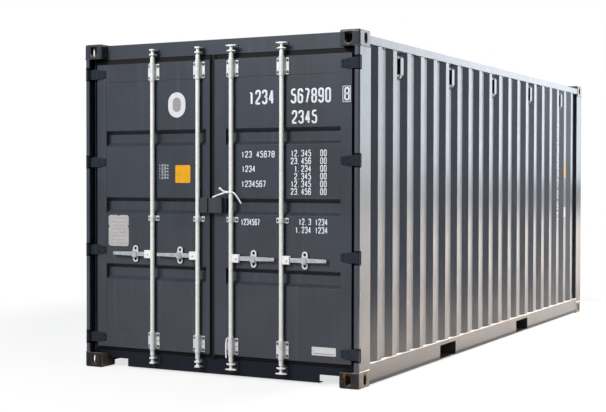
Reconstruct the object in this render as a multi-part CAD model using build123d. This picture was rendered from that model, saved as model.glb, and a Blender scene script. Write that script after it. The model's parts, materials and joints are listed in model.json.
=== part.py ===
"""Twenty-foot dry freight container: steel frame, corrugated walls, two hinged doors with lock rods.

Millimetres. X is the width, Y the length with the door end at -Y, Z up.
The origin is on the ground, in the middle of the four bottom corner castings.
"""
from math import cos, hypot, radians, sin
import os

from build123d import *

# Overall size between the faces of the corner castings
length = 6058.0
width = 2438.0
height = 2591.0
end_face = length / 2
side_face = width / 2

# Corner castings
casting_length = 178.0
casting_width = 162.0
casting_height = 118.0
casting_plate = 28.5
casting_outer_wall = 28.0
casting_inner_wall = 14.0
casting_rounding = 14.0
aperture_length = 124.5
aperture_width = 63.5
aperture_side_inset = 89.5
aperture_end_inset = 102.5
hole_width = 51.0
hole_height = 79.0
shield_width = 64.0

# Frame members stand a little behind the castings
frame_setback = 3.0
base_clearance = 12.5
roof_clearance = 7.0
frame_side = side_face - frame_setback
frame_end = end_face - frame_setback

# Rear corner posts: thick outer channel and thin inner return
rear_post_depth = 195.0
rear_post_flange = 38.0
rear_post_wall = 12.0
rear_post_bend = 14.0
rear_post_return_wall = 6.0
rear_post_return_width = 52.0
rear_post_return_depth = 129.0

# Front corner posts
front_post_depth = 198.0
front_post_width = 104.0
front_post_wall = 6.0
front_post_lip = 22.0

# Rails
top_rail_size = 60.0
top_rail_wall = 4.0
top_rail_drop = 34.0
bottom_rail_top = 165.0
bottom_rail_wall = 5.0
bottom_rail_top_flange = 48.0
bottom_rail_foot = 30.0

# Corrugated side walls
sheet = 2.0
wall_depth = 36.0
wall_outer_flat = 72.0
wall_inner_flat = 70.0
wall_slope = 68.0
wall_rear_margin = 63.0

# Corrugated front wall
front_wall_depth = 45.0
front_wall_outer_flat = 110.0
front_wall_inner_flat = 104.0
front_wall_slope = 18.0
front_wall_inset = 4.0
front_header_depth = 60.0
front_header_wall = 4.0
front_sill_depth = 75.0
front_sill_wall = 5.0

# Roof sheet with stamped ribs across it
roof_rib_height = 20.0
roof_rib_crest = 91.0
roof_rib_slope = 20.0
roof_rib_gap = 78.0
roof_rib_end_margin = 92.0
roof_seat = 26.0

# Underframe and floor
cross_member_height = 122.0
cross_member_flange = 45.0
cross_member_wall = 4.0
cross_member_pitch = 293.0
floor_thickness = 28.0
floor_side_gap = 4.0
pocket_width = 360.0
pocket_spacing = 2050.0
pocket_shift = -210.0
pocket_wall = 5.0
pocket_strap = 220.0

# Door opening: header and sill stand back from the end face
end_beam_recess = 85.0
end_beam_wall = 4.0
header_drop = 123.0
header_depth = 93.0
seal_lip_drop = 36.0
seal_lip_setback = 44.0
sill_top = 138.0
sill_depth = 60.0
sill_notch_width = 197.0
sill_notch_top = 77.0
threshold_depth = 34.0

# Door leaves
leaf_recess = 51.0
leaf_depth = 50.0
leaf_edge_inset = 85.0
leaf_bottom_gap = 30.0
leaf_top_gap = 41.0
meeting_line = -45.0
meeting_gap = 44.0
meeting_offset = 4.0
hinge_stile = 90.0
left_free_stile = 32.0
right_free_stile = 101.0
leaf_rail = 140.0
leaf_wall = 4.0
panel_setback = 2.0
groove_depth = 36.0
groove_flat = 66.0
groove_slope = 30.0
groove_pitch = 530.0
groove_rise = 7.5
gasket_depth = 20.0
gasket_setback = 24.0
gasket_clearance = 5.0
left_lip_reach = 4.0
right_lip_reach = 31.0
lip_setback = 10.0

# Hinges; the end ones stand level with the end brackets of the rods
hinge_count = 4
end_fitting_distance = 75.0
pin_inset = 15.5
pin_radius = 7.0
pin_clearance = 0.3
knuckle_radius = 13.5
blade_height = 80.0
blade_tip_height = 56.0
blade_overlap = 86.0
blade_rise = 14.5
blade_tip_rise = 6.0
blade_play = 0.5
blade_root_radius = 13.2
blade_front_angle = 207.0
blade_back_angle = 72.0
blade_neck_inset = 20.0
blade_neck_drop = 17.0
blade_neck_width = 10.0
blade_neck_depth = 13.0
blade_heel = 9.0
lug_thickness = 12.0
hinge_notch_depth = 36.0

# Lock rods with their cams, brackets and keepers
rod_recess = 27.0
rod_radius = 17.0
left_inner_rod_inset = 93.5
right_inner_rod_inset = 161.0
outer_rod_shift = 65.5
rod_below_sill_top = 12.0
rod_below_header = 2.0
cam_hub_radius = 12.0
cam_flange = 12.0
cam_gap = 25.0
cam_end_reach = 47.0
cam_inner_reach = 38.0
cam_half_width = 20.0
cam_tip_half_width = 8.0
cam_tip = 6.0
cam_rear_reach = 42.0
cam_side_reach = 24.0
cam_tip_rounding = 6.0
cam_side_rounding = 16.0
cam_neck = 14.0
keeper_lug = 14.0
keeper_half_width = 22.0
keeper_tip_gap = 21.0
keeper_base_half_width = 30.0
keeper_base_height = 62.0
keeper_base = 6.0
bracket_width = 104.0
bracket_plate = 6.0
bracket_strap = 4.5
bracket_corner = 9.0
bracket_clearance = 0.3
saddle_overhang = 11.0
large_bracket = 124.0
small_bracket = 40.0
small_bracket_drop = 16.0

# Handles; those of the left leaf stand a little higher
handle_rise = 76.0
left_handle_raise = 9.0
handle_thickness = 12.0
handle_depth = 33.0
handle_tip_depth = 24.0
handle_end_gap = 45.0
handle_pivot = 46.0
hub_plate = 5.0
hub_clearance = 0.4
hub_length = 72.0
hub_height = 62.0
rivet_radius = 7.0
rivet_clearance = 0.2
left_catch_distance = 170.0
right_catch_distance = 190.0
catch_width = 48.0
catch_height = 132.0
catch_plate = 5.0
catch_stand = 7.0
catch_hole = 12.0
cradle_gap = 1.0
cradle_thickness = 6.0
hasp_width = 40.0
hasp_height = 52.0
hasp_plate = 4.0

# Lock box, one half on each leaf
lock_box_left_reach = 86.0
lock_box_right_reach = 104.0
lock_box_height = 114.0
lock_box_rise = 15.5
lock_box_recess = 10.0
lock_box_wall = 4.0
lock_box_split = 10.0

# Side vents
vent_first_wave = 1
vent_wave_step = 4
vent_width = 56.0
vent_height = 212.0
vent_slope = 41.0
vent_wall = 3.0
vent_drop = 6.0
vent_inset = 2.0

# Reach within which an edge counts as lying on a face
pick_tolerance = 0.1

# Heights and planes worked out from the sizes above
post_bottom = casting_height
post_top = height - casting_height
rail_end = end_face - casting_length
beam_end = side_face - casting_width
top_rail_top = height - top_rail_drop
top_rail_bottom = top_rail_top - top_rail_size
floor_bottom = base_clearance + cross_member_height
floor_top = floor_bottom + floor_thickness
rear_post_rear = -frame_end + rear_post_depth
front_post_front = frame_end - front_post_depth
return_face = frame_side - rear_post_return_width
wall_pitch = wall_outer_flat + wall_inner_flat + 2 * wall_slope
wall_first_flat = rear_post_rear + wall_rear_margin + wall_slope
wall_waves = int((front_post_front - rear_post_rear - wall_rear_margin) // wall_pitch)
front_wall_edge = frame_side - front_post_width
front_wall_pitch = front_wall_outer_flat + front_wall_inner_flat + 2 * front_wall_slope
front_wall_waves = int(2 * front_wall_edge // front_wall_pitch)
roof_pitch = roof_rib_crest + roof_rib_gap + 2 * roof_rib_slope
beam_face = -end_face + end_beam_recess
header_top = height - roof_clearance
header_bottom = height - header_drop
leaf_face = -end_face + leaf_recess
leaf_back = leaf_face + leaf_depth
panel_face = leaf_face + panel_setback
leaf_half_span = side_face - leaf_edge_inset
leaf_bottom = sill_top + leaf_bottom_gap
leaf_top = header_bottom - leaf_top_gap
leaf_middle = (leaf_bottom + leaf_top) / 2
left_free_edge = meeting_line - meeting_offset - meeting_gap / 2
right_free_edge = meeting_line - meeting_offset + meeting_gap / 2
groove_half = groove_flat / 2 + groove_slope
groove_centres = [leaf_middle + groove_rise + step * groove_pitch for step in (-1, 0, 1)]
top_bracket_centre = leaf_top - end_fitting_distance
bottom_bracket_centre = leaf_bottom + end_fitting_distance
middle_bracket_centre = groove_centres[1] - groove_half - small_bracket_drop - small_bracket / 2
hinge_pitch = (top_bracket_centre - bottom_bracket_centre) / (hinge_count - 1)
hinge_centres = [bottom_bracket_centre + index * hinge_pitch for index in range(hinge_count)]
handle_height = groove_centres[0] + groove_half + handle_rise
rod_axis = -end_face + rod_recess
rod_bottom = sill_top - rod_below_sill_top
rod_top = header_bottom - rod_below_header
lip_seam = (left_free_edge + left_lip_reach + right_free_edge - right_lip_reach) / 2
left_inner_rod = left_free_edge - left_inner_rod_inset
left_outer_rod = (left_inner_rod - leaf_half_span) / 2 + outer_rod_shift
right_inner_rod = right_free_edge + right_inner_rod_inset
right_outer_rod = (right_inner_rod + leaf_half_span) / 2 - outer_rod_shift
left_rods = (left_outer_rod, left_inner_rod)
right_rods = (right_inner_rod, right_outer_rod)
handle_length = min(left_inner_rod - left_outer_rod, right_outer_rod - right_inner_rod) - handle_end_gap
lock_box_bottom = leaf_middle + lock_box_rise - lock_box_height / 2
lock_box_top = lock_box_bottom + lock_box_height
pin_x = side_face - pin_inset
pin_y = -end_face + pin_inset
lug_span = blade_height + 2 * blade_play
hinge_notch = lug_span + 2 * lug_thickness
notch_rear = -frame_end + hinge_notch_depth


def block(x, y, z):
    """A box between the given (low, high) pairs."""
    size = (x[1] - x[0], y[1] - y[0], z[1] - z[0])
    return Pos(x[0], y[0], z[0]) * Box(*size, align=(Align.MIN, Align.MIN, Align.MIN))


def outline(points):
    return make_face(Polyline(*points, close=True))


def along_x(points, low, high):
    """A (Y, Z) outline carried along X."""
    return extrude(Plane.YZ.offset(low) * outline(points), amount=high - low)


def along_y(points, low, high):
    """An (X, Z) outline carried along Y."""
    return extrude(Plane.XZ.offset(-high) * outline(points), amount=high - low)


def along_z(points, low, high):
    """An (X, Y) outline carried along Z."""
    return extrude(Plane.XY.offset(low) * outline(points), amount=high - low)


def upright(radius, x, y, low, high):
    return Pos(x, y, (low + high) / 2) * Cylinder(radius, high - low)


def across(radius, x, z, low, high):
    """A cylinder whose axis runs along Y."""
    return Pos(x, (low + high) / 2, z) * Rot(90, 0, 0) * Cylinder(radius, high - low)


def flip_x(shape):
    return mirror(shape, about=Plane.YZ)


def flip_y(shape):
    return mirror(shape, about=Plane.XZ)


def save(name, *shapes):
    """Writes one node; several shapes stay separate solids."""
    solids = [solid for shape in shapes for solid in shape.solids()]
    whole = solids[0] if len(solids) == 1 else Compound(children=solids)
    export_step(whole, f"parts/{name}.step")


def wave(start, count, pitch, crest, slope, low, high):
    """Zigzag of a corrugated sheet: each crest at high, each trough at low."""
    points = []
    for index in range(count):
        left = start + index * pitch
        points += [(left - slope, low), (left, high), (left + crest, high), (left + crest + slope, low)]
    return points


def casting(top):
    """The casting at +X and -Y, with its plate at the bottom, or at the top if asked."""
    x = (side_face - casting_width, side_face)
    y = (-end_face, -end_face + casting_length)
    body = block(x, y, (0, casting_height))
    near = pick_tolerance
    outer = body.edges().filter_by_position(Axis.X, side_face - near, side_face + near)
    inner = body.edges().filter_by_position(Axis.X, x[0] - near, x[0] + near)
    ends = body.edges().filter_by_position(Axis.Y, -end_face - near, -end_face + near)
    foot = body.edges().filter_by_position(Axis.Z, -near, near)
    rounded = [edge for edge in list(outer) + list(inner) if edge in ends or edge in foot]
    rounded += [edge for edge in ends if edge in foot]
    body = fillet(rounded, casting_rounding)
    body -= block(
        (x[0] + casting_inner_wall, x[1] - casting_outer_wall),
        (y[0] + casting_outer_wall, y[1] - casting_inner_wall),
        (casting_plate, casting_height - casting_inner_wall),
    )
    centre_x = side_face - aperture_side_inset
    centre_y = -end_face + aperture_end_inset
    middle = casting_height / 2
    plate_hole = Rot(0, 0, 90) * SlotOverall(aperture_length, aperture_width)
    body -= extrude(Pos(centre_x, centre_y, 0) * plate_hole, amount=casting_plate)
    oblong = Rot(0, 0, 90) * SlotOverall(hole_height, hole_width)
    end_hole = oblong
    if top:
        radius = shield_width / 2
        straight = hole_height - radius
        # The plate of this casting is turned upwards later, so its straight edge faces the plate
        end_hole = Circle(radius) + Pos(0, -straight / 2) * Rectangle(shield_width, straight)
        end_hole = Pos(0, hole_height / 2 - radius) * end_hole
    end_plane = Plane(origin=(centre_x, -end_face, middle), x_dir=(1, 0, 0), z_dir=(0, -1, 0))
    body -= extrude(end_plane * end_hole, amount=-casting_outer_wall)
    side_plane = Plane(origin=(side_face, centre_y, middle), x_dir=(0, 1, 0), z_dir=(1, 0, 0))
    body -= extrude(side_plane * oblong, amount=-casting_outer_wall)
    return body


def four_corners(piece):
    return [piece, flip_x(piece), flip_y(piece), flip_x(flip_y(piece))]


def corner_castings():
    bottom = casting(top=False)
    raised = mirror(casting(top=True), about=Plane.XY.offset(height / 2))
    save("corner_castings_bottom", *four_corners(bottom))
    save("corner_castings_top", *four_corners(raised))


def rear_posts():
    """Thick channel open towards the doors, with a thin return that the gasket meets."""
    front = -frame_end
    return_front = rear_post_rear - rear_post_return_depth
    section = [
        (frame_side - rear_post_flange, front),
        (frame_side, front),
        (frame_side, rear_post_rear),
        (return_face, rear_post_rear),
        (return_face, return_front),
        (return_face + rear_post_return_wall, return_front),
        (return_face + rear_post_return_wall, rear_post_rear - rear_post_return_wall),
        (frame_side - rear_post_wall, rear_post_rear - rear_post_return_wall),
        (frame_side - rear_post_wall, front + rear_post_wall),
        (frame_side - rear_post_flange, front + rear_post_wall),
    ]
    post = along_z(section, post_bottom, post_top)
    near = pick_tolerance
    upright_edges = post.edges().filter_by(Axis.Z)
    bend = upright_edges.filter_by_position(Axis.X, frame_side - near, frame_side + near)
    post = fillet(bend.filter_by_position(Axis.Y, front - near, front + near), rear_post_bend)
    for centre in hinge_centres:
        post -= block(
            (frame_side - rear_post_flange, frame_side),
            (front, notch_rear),
            (centre - hinge_notch / 2, centre + hinge_notch / 2),
        )
    save("rear_post_right", post)
    save("rear_post_left", flip_x(post))


def front_posts():
    inner = front_wall_edge
    section = [
        (frame_side, front_post_front),
        (frame_side, frame_end),
        (inner, frame_end),
        (inner, frame_end - front_post_lip),
        (inner + front_post_wall, frame_end - front_post_lip),
        (inner + front_post_wall, frame_end - front_post_wall),
        (frame_side - front_post_wall, frame_end - front_post_wall),
        (frame_side - front_post_wall, front_post_front + front_post_wall),
        (frame_side - wall_depth, front_post_front + front_post_wall),
        (frame_side - wall_depth, front_post_front),
    ]
    post = along_z(section, post_bottom, post_top)
    save("front_post_right", post)
    save("front_post_left", flip_x(post))


def top_side_rails():
    x = (frame_side - top_rail_size, frame_side)
    rail = block(x, (-rail_end, rail_end), (top_rail_bottom, top_rail_top))
    rail -= block(
        (x[0] + top_rail_wall, x[1] - top_rail_wall),
        (-rail_end, rail_end),
        (top_rail_bottom + top_rail_wall, top_rail_top - top_rail_wall),
    )
    save("top_side_rail_right", rail)
    save("top_side_rail_left", flip_x(rail))


def pocket_centres():
    return [pocket_shift + side * pocket_spacing / 2 for side in (-1, 1)]


def bottom_side_rails():
    section = [
        (frame_side, base_clearance),
        (frame_side, bottom_rail_top),
        (frame_side - bottom_rail_top_flange, bottom_rail_top),
        (frame_side - bottom_rail_top_flange, bottom_rail_top - bottom_rail_wall),
        (frame_side - bottom_rail_wall, bottom_rail_top - bottom_rail_wall),
        (frame_side - bottom_rail_wall, base_clearance + bottom_rail_wall),
        (frame_side - bottom_rail_foot, base_clearance + bottom_rail_wall),
        (frame_side - bottom_rail_foot, base_clearance),
    ]
    rail = along_y(section, -rail_end, rail_end)
    for centre in pocket_centres():
        rail -= block(
            (frame_side - bottom_rail_top_flange, frame_side),
            (centre - pocket_width / 2 - pocket_wall, centre + pocket_width / 2 + pocket_wall),
            (base_clearance, floor_bottom),
        )
    post_seat = (post_bottom, bottom_rail_top)
    rail -= block((return_face, frame_side), (-rail_end, rear_post_rear), post_seat)
    rail -= block((return_face, frame_side), (front_post_front, rail_end), post_seat)
    save("bottom_side_rail_right", rail)
    save("bottom_side_rail_left", flip_x(rail))


def fork_pockets():
    """Sleeves through the base: two cheeks, a roof plate and a strap under each mouth."""
    sleeves = []
    low = base_clearance
    high = floor_bottom
    for centre in pocket_centres():
        near = centre - pocket_width / 2
        far = centre + pocket_width / 2
        section = [
            (near - pocket_wall, low),
            (near, low),
            (near, high - pocket_wall),
            (far, high - pocket_wall),
            (far, low),
            (far + pocket_wall, low),
            (far + pocket_wall, high),
            (near - pocket_wall, high),
        ]
        sleeve = along_x(section, -frame_side, frame_side)
        strap = block((frame_side - pocket_strap, frame_side), (near, far), (low, low + pocket_wall))
        sleeves.append(sleeve + strap + flip_x(strap))
    save("fork_pockets", *sleeves)


def side_walls():
    """Trapezoid corrugation from post to post, standing on the bottom rail."""
    high = frame_side
    low = frame_side - wall_depth
    trough = low + sheet
    skin = [(rear_post_rear, trough)]
    skin += wave(wall_first_flat, wall_waves, wall_pitch, wall_outer_flat, wall_slope, trough, high)
    skin += [(front_post_front, trough)]
    shell = skin + [(y, x - sheet) for y, x in reversed(skin)]
    wall = along_z([(x, y) for y, x in shell], bottom_rail_top, top_rail_bottom)
    save("side_wall_right", wall)
    save("side_wall_left", flip_x(wall))


def front_beams():
    y = (frame_end - front_header_depth, frame_end)
    header = block((-beam_end, beam_end), y, (post_top, header_top))
    header -= block(
        (-beam_end, beam_end),
        (y[0] + front_header_wall, y[1] - front_header_wall),
        (post_top + front_header_wall, header_top - front_header_wall),
    )
    save("front_header", header)
    inner = frame_end - front_sill_depth
    section = [
        (frame_end, base_clearance),
        (frame_end, bottom_rail_top),
        (inner, bottom_rail_top),
        (inner, bottom_rail_top - front_sill_wall),
        (frame_end - front_sill_wall, bottom_rail_top - front_sill_wall),
        (frame_end - front_sill_wall, base_clearance + front_sill_wall),
        (inner, base_clearance + front_sill_wall),
        (inner, base_clearance),
    ]
    save("front_sill", along_x(section, -beam_end, beam_end))


def front_wall():
    """Corrugated end wall between the front posts."""
    high = frame_end - front_wall_inset
    low = high - front_wall_depth
    trough = low + sheet
    first = -((front_wall_waves - 1) * front_wall_pitch + front_wall_outer_flat) / 2
    skin = [(-front_wall_edge, trough)]
    skin += wave(
        first, front_wall_waves, front_wall_pitch, front_wall_outer_flat, front_wall_slope, trough, high
    )
    skin += [(front_wall_edge, trough)]
    shell = skin + [(x, y - sheet) for x, y in reversed(skin)]
    save("front_wall", along_z(shell, bottom_rail_top, post_top))


def roof_rib(centre, base):
    """One stamped rib: a low block with sloping flanks and ends, standing on the given height."""
    length_x = 2 * (frame_side - roof_seat - roof_rib_end_margin)
    length_y = roof_rib_crest + 2 * roof_rib_slope
    foot = Pos(0, centre, base) * Rectangle(length_x, length_y)
    crest = Pos(0, centre, base + roof_rib_height) * Rectangle(
        length_x - 2 * roof_rib_slope, length_y - 2 * roof_rib_slope
    )
    return loft([foot, crest])


def roof():
    """Sheet seated on the top rails and the end beams, with ribs stamped upwards across it."""
    reach = frame_side - roof_seat
    between_castings = side_face - casting_width
    near = beam_face + header_depth
    far = frame_end - front_header_depth
    low = top_rail_top
    sheet_metal = block((-reach, reach), (near, rail_end), (low, low + sheet))
    sheet_metal += block((-between_castings, between_castings), (rail_end, far), (low, low + sheet))
    count = int((rail_end - near - 2 * roof_seat) // roof_pitch)
    first = (near + rail_end - (count - 1) * roof_pitch) / 2
    centres = [first + index * roof_pitch for index in range(count)]
    sheet_metal += [roof_rib(centre, low + sheet) for centre in centres]
    sheet_metal -= [roof_rib(centre, low) for centre in centres]
    save("roof", sheet_metal)


def floor():
    edge = frame_side - bottom_rail_top_flange - floor_side_gap
    near = beam_face + sill_depth + threshold_depth
    far = frame_end - front_sill_depth
    save("floor", block((-edge, edge), (near, far), (floor_bottom, floor_top)))


def cross_members():
    """Channels between the bottom rails, left out where a fork pocket passes."""
    reach = frame_side - bottom_rail_wall
    near = beam_face + sill_depth
    far = frame_end - front_sill_depth
    count = int((far - near - cross_member_flange) // cross_member_pitch)
    step = (far - near - cross_member_flange) / (count + 1)
    half = pocket_width / 2 + pocket_wall
    channels = []
    for index in range(1, count + 1):
        back = near + index * step
        front = back + cross_member_flange
        if any(back < centre + half and front > centre - half for centre in pocket_centres()):
            continue
        section = [
            (back, base_clearance),
            (front, base_clearance),
            (front, base_clearance + cross_member_wall),
            (back + cross_member_wall, base_clearance + cross_member_wall),
            (back + cross_member_wall, floor_bottom - cross_member_wall),
            (front, floor_bottom - cross_member_wall),
            (front, floor_bottom),
            (back, floor_bottom),
        ]
        channels.append(along_x(section, -reach, reach))
    foot = block(
        (frame_side - bottom_rail_foot, frame_side),
        (-rail_end, rail_end),
        (base_clearance, base_clearance + bottom_rail_wall),
    )
    save("cross_members", *[channel - foot - flip_x(foot) for channel in channels])


def door_header():
    """Pressed beam over the doors, with a lip hanging down behind them."""
    rear = beam_face + header_depth
    lip = beam_face + seal_lip_setback
    section = [
        (beam_face, header_bottom),
        (beam_face, header_top),
        (rear, header_top),
        (rear, header_top - end_beam_wall),
        (beam_face + end_beam_wall, header_top - end_beam_wall),
        (beam_face + end_beam_wall, header_bottom + end_beam_wall),
        (lip + end_beam_wall, header_bottom + end_beam_wall),
        (lip + end_beam_wall, header_bottom),
    ]
    beam = along_x(section, -beam_end, beam_end)
    lip_y = (lip, lip + end_beam_wall)
    beam += block((-return_face, return_face), lip_y, (header_bottom - seal_lip_drop, header_bottom))
    save("door_header", beam)


def door_sill():
    """Threshold beam with a notch beside each bottom casting."""
    step = beam_face + sill_depth
    rear = step + threshold_depth
    section = [
        (beam_face, base_clearance),
        (beam_face, sill_top),
        (step - end_beam_wall, sill_top),
        (step - end_beam_wall, floor_top),
        (rear, floor_top),
        (rear, floor_top - end_beam_wall),
        (step, floor_top - end_beam_wall),
        (step, sill_top - end_beam_wall),
        (beam_face + end_beam_wall, sill_top - end_beam_wall),
        (beam_face + end_beam_wall, base_clearance + end_beam_wall),
        (step, base_clearance + end_beam_wall),
        (step, base_clearance),
    ]
    beam = along_x(section, -beam_end, beam_end)
    upper = [
        (beam_face, casting_height),
        (beam_face, sill_top),
        (step - end_beam_wall, sill_top),
        (step - end_beam_wall, floor_top),
        (step, floor_top),
        (step, sill_top - end_beam_wall),
        (beam_face + end_beam_wall, sill_top - end_beam_wall),
        (beam_face + end_beam_wall, casting_height),
    ]
    wing = along_x(upper, beam_end, return_face)
    notch = block(
        (beam_end - sill_notch_width, beam_end),
        (beam_face, step),
        (base_clearance, sill_notch_top),
    )
    save("door_sill", beam + wing + flip_x(wing) - notch - flip_x(notch))


def hinge_lugs():
    """Two lugs and their pin at each hinge, set in the notch of the post."""
    for side, name in ((1, "right"), (-1, "left")):
        hinges = []
        for centre in hinge_centres:
            low = centre - hinge_notch / 2
            high = centre + hinge_notch / 2
            lug = upright(knuckle_radius, pin_x, pin_y, low, high)
            lug += block((pin_x - knuckle_radius, frame_side), (pin_y, notch_rear), (low, high))
            lug -= block(
                (pin_x - 2 * knuckle_radius, side_face),
                (-end_face, notch_rear),
                (centre - lug_span / 2, centre + lug_span / 2),
            )
            hinge = lug + upright(pin_radius, pin_x, pin_y, low, high)
            hinges.append(hinge if side > 0 else flip_x(hinge))
        save(f"hinge_lugs_{name}", *hinges)


def cam_heights():
    """Centre of the bottom cams and of the top cams."""
    half = cam_gap / 2 + cam_flange
    return rod_bottom - cam_neck - half, rod_top + cam_neck + half


def cam_keepers():
    """Lugs on the header and the sill that stand between the flanges of each cam."""
    keepers = []
    tip = rod_axis + keeper_tip_gap
    for x in left_rods + right_rods:
        for height_of_cam in cam_heights():
            base = block(
                (x - keeper_base_half_width, x + keeper_base_half_width),
                (beam_face - keeper_base, beam_face),
                (height_of_cam - keeper_base_height / 2, height_of_cam + keeper_base_height / 2),
            )
            lug = block(
                (x - keeper_half_width, x + keeper_half_width),
                (tip, beam_face - keeper_base),
                (height_of_cam - keeper_lug / 2, height_of_cam + keeper_lug / 2),
            )
            keepers.append(base + lug)
    save("cam_keepers", *keepers)


def side_vents():
    """Small bridge hoods in the troughs under the top rail, with sloping ends and open sides."""
    vents = []
    seat = frame_side - wall_depth + sheet
    front = frame_side - vent_inset
    back = front - vent_wall
    high = top_rail_bottom - vent_drop
    low = high - vent_height
    steepness = vent_slope / (front - seat)
    end_wall = vent_wall * hypot(1, steepness)
    inner_slope = end_wall + (back - seat) * steepness
    section = [
        (seat, low),
        (front, low + vent_slope),
        (front, high - vent_slope),
        (seat, high),
        (seat, high - end_wall),
        (back, high - inner_slope),
        (back, low + inner_slope),
        (seat, low + end_wall),
    ]
    for index in range(vent_first_wave, wall_waves, vent_wave_step):
        trough = wall_first_flat + index * wall_pitch + wall_outer_flat + wall_slope
        middle = trough + wall_inner_flat / 2
        hood = along_y(section, middle - vent_width / 2, middle + vent_width / 2)
        vents += [hood, flip_x(hood)]
    save("side_vents", *vents)


def leaf_frame(name, hinge_edge, free_edge, free_stile):
    """Tubular stiles with channel rails between them."""
    side = 1 if hinge_edge > 0 else -1
    low, high = sorted((hinge_edge, free_edge))
    hinge_inner = hinge_edge - side * hinge_stile
    free_inner = free_edge + side * free_stile
    inner = tuple(sorted((hinge_inner, free_inner)))
    y = (leaf_face, leaf_back)
    frame = block((low, high), y, (leaf_bottom, leaf_top))
    frame -= block(inner, y, (leaf_bottom + leaf_rail, leaf_top - leaf_rail))
    for pair in ((hinge_edge, hinge_inner), (free_inner, free_edge)):
        edges = sorted(pair)
        frame -= block(
            (edges[0] + leaf_wall, edges[1] - leaf_wall),
            (leaf_face + leaf_wall, leaf_back - leaf_wall),
            (leaf_bottom, leaf_top),
        )
    for base in (leaf_bottom, leaf_top - leaf_rail):
        frame -= block(
            inner,
            (leaf_face + leaf_wall, leaf_back),
            (base + leaf_wall, base + leaf_rail - leaf_wall),
        )
    save(f"{name}_door_frame", frame)
    return inner


def leaf_panel(name, inner):
    """Sheet with three pressed grooves, welded into the frame."""
    flat = groove_flat / 2
    bed = panel_face + groove_depth
    skin = [(leaf_bottom + leaf_rail, panel_face)]
    for centre in groove_centres:
        skin += [(centre - groove_half, panel_face), (centre - flat, bed)]
        skin += [(centre + flat, bed), (centre + groove_half, panel_face)]
    skin += [(leaf_top - leaf_rail, panel_face)]
    shell = skin + [(z, y + sheet) for z, y in reversed(skin)]
    save(f"{name}_door_panel", along_x([(y, z) for z, y in shell], *inner))


def leaf_gasket(name, hinge_edge, free_edge, lip_reach):
    """Rubber seal round the edges of the leaf, with a thicker lip in the middle gap."""
    side = 1 if hinge_edge > 0 else -1
    y = (leaf_face + gasket_setback, leaf_face + gasket_setback + gasket_depth)
    lip_edge = free_edge - side * lip_reach
    outer_x = sorted((side * (return_face - gasket_clearance), lip_edge))
    outer_z = (sill_top + gasket_clearance, header_bottom - gasket_clearance)
    seal = block(outer_x, y, outer_z)
    seal -= block(sorted((hinge_edge, free_edge)), y, (leaf_bottom, leaf_top))
    seal += block(sorted((lip_edge, free_edge)), (leaf_face + lip_setback, y[1]), outer_z)
    save(f"{name}_door_gasket", seal)


def knuckle_point(angle):
    """Where the strap meets its knuckle, by the angle round the pin."""
    turn = radians(angle)
    return pin_x + blade_root_radius * cos(turn), pin_y + blade_root_radius * sin(turn)


def hinge_blades(name, hinge_edge):
    """Cranked straps from the leaf to the hinge pins, tapered towards their tips."""
    side = 1 if hinge_edge > 0 else -1
    edge = abs(hinge_edge)
    tip = edge - blade_overlap
    neck_x = pin_x - blade_neck_inset
    neck_y = pin_y + blade_neck_drop
    section = [
        knuckle_point(blade_front_angle),
        (neck_x, neck_y),
        (edge, leaf_face - blade_rise),
        (tip, leaf_face - blade_tip_rise),
        (tip, leaf_face),
        (edge + blade_heel, leaf_face),
        (neck_x + blade_neck_width, neck_y + blade_neck_depth),
        knuckle_point(blade_back_angle),
    ]
    taper = [
        (tip, -blade_tip_height / 2),
        (edge, -blade_height / 2),
        (side_face, -blade_height / 2),
        (side_face, blade_height / 2),
        (edge, blade_height / 2),
        (tip, blade_tip_height / 2),
    ]
    blades = []
    for centre in hinge_centres:
        low = centre - blade_height / 2
        high = centre + blade_height / 2
        strap = along_z(section, low, high)
        strap += upright(knuckle_radius, pin_x, pin_y, low, high)
        strap &= along_y([(x, z + centre) for x, z in taper], -end_face, leaf_face)
        strap -= upright(pin_radius + pin_clearance, pin_x, pin_y, low, high)
        blades.append(strap if side > 0 else flip_x(strap))
    save(f"{name}_hinge_blades", *blades)


def rod_bracket(x, centre, tall, seat, overhang):
    """Base plate on the leaf with a saddle over the rod, longer than the plate by the overhang."""
    low = centre - tall / 2
    high = centre + tall / 2
    outer = rod_radius + bracket_clearance + bracket_strap
    face = Plane(origin=(x, seat, centre), x_dir=(1, 0, 0), z_dir=(0, -1, 0))
    plate = RectangleRounded(bracket_width, tall, bracket_corner)
    bracket = extrude(face * plate, amount=seat - leaf_face + bracket_plate)
    bracket += block((x - outer, x + outer), (rod_axis, seat), (low, high))
    bracket += upright(outer, x, rod_axis, low - overhang, high + overhang)
    return bracket - upright(rod_radius + bracket_clearance, x, rod_axis, low - overhang, high + overhang)


def handle_level(side):
    return handle_height if side > 0 else handle_height + left_handle_raise


def catch_distance(side):
    return right_catch_distance if side > 0 else left_catch_distance


def handle_catch(x, level):
    """Plate with two seal holes behind the handle, and a cradle under it."""
    back = leaf_face - catch_stand
    face = Plane(origin=(x, back, level), x_dir=(1, 0, 0), z_dir=(0, -1, 0))
    shape = Rot(0, 0, 90) * SlotOverall(catch_height, catch_width)
    offset = catch_height / 2 - catch_width / 2
    shape -= Pos(0, offset) * Circle(catch_hole)
    shape -= Pos(0, -offset) * Circle(catch_hole)
    plate = extrude(face * shape, amount=catch_plate)
    foot = block(
        (x - catch_width / 4, x + catch_width / 4),
        (back, panel_face),
        (level - catch_width / 2, level + catch_width / 2),
    )
    under = level - handle_depth / 2 - cradle_gap
    cradle = block(
        (x - catch_width / 4, x + catch_width / 4),
        (rod_axis, back - catch_plate),
        (under - cradle_thickness, under),
    )
    return plate + foot + cradle


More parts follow.
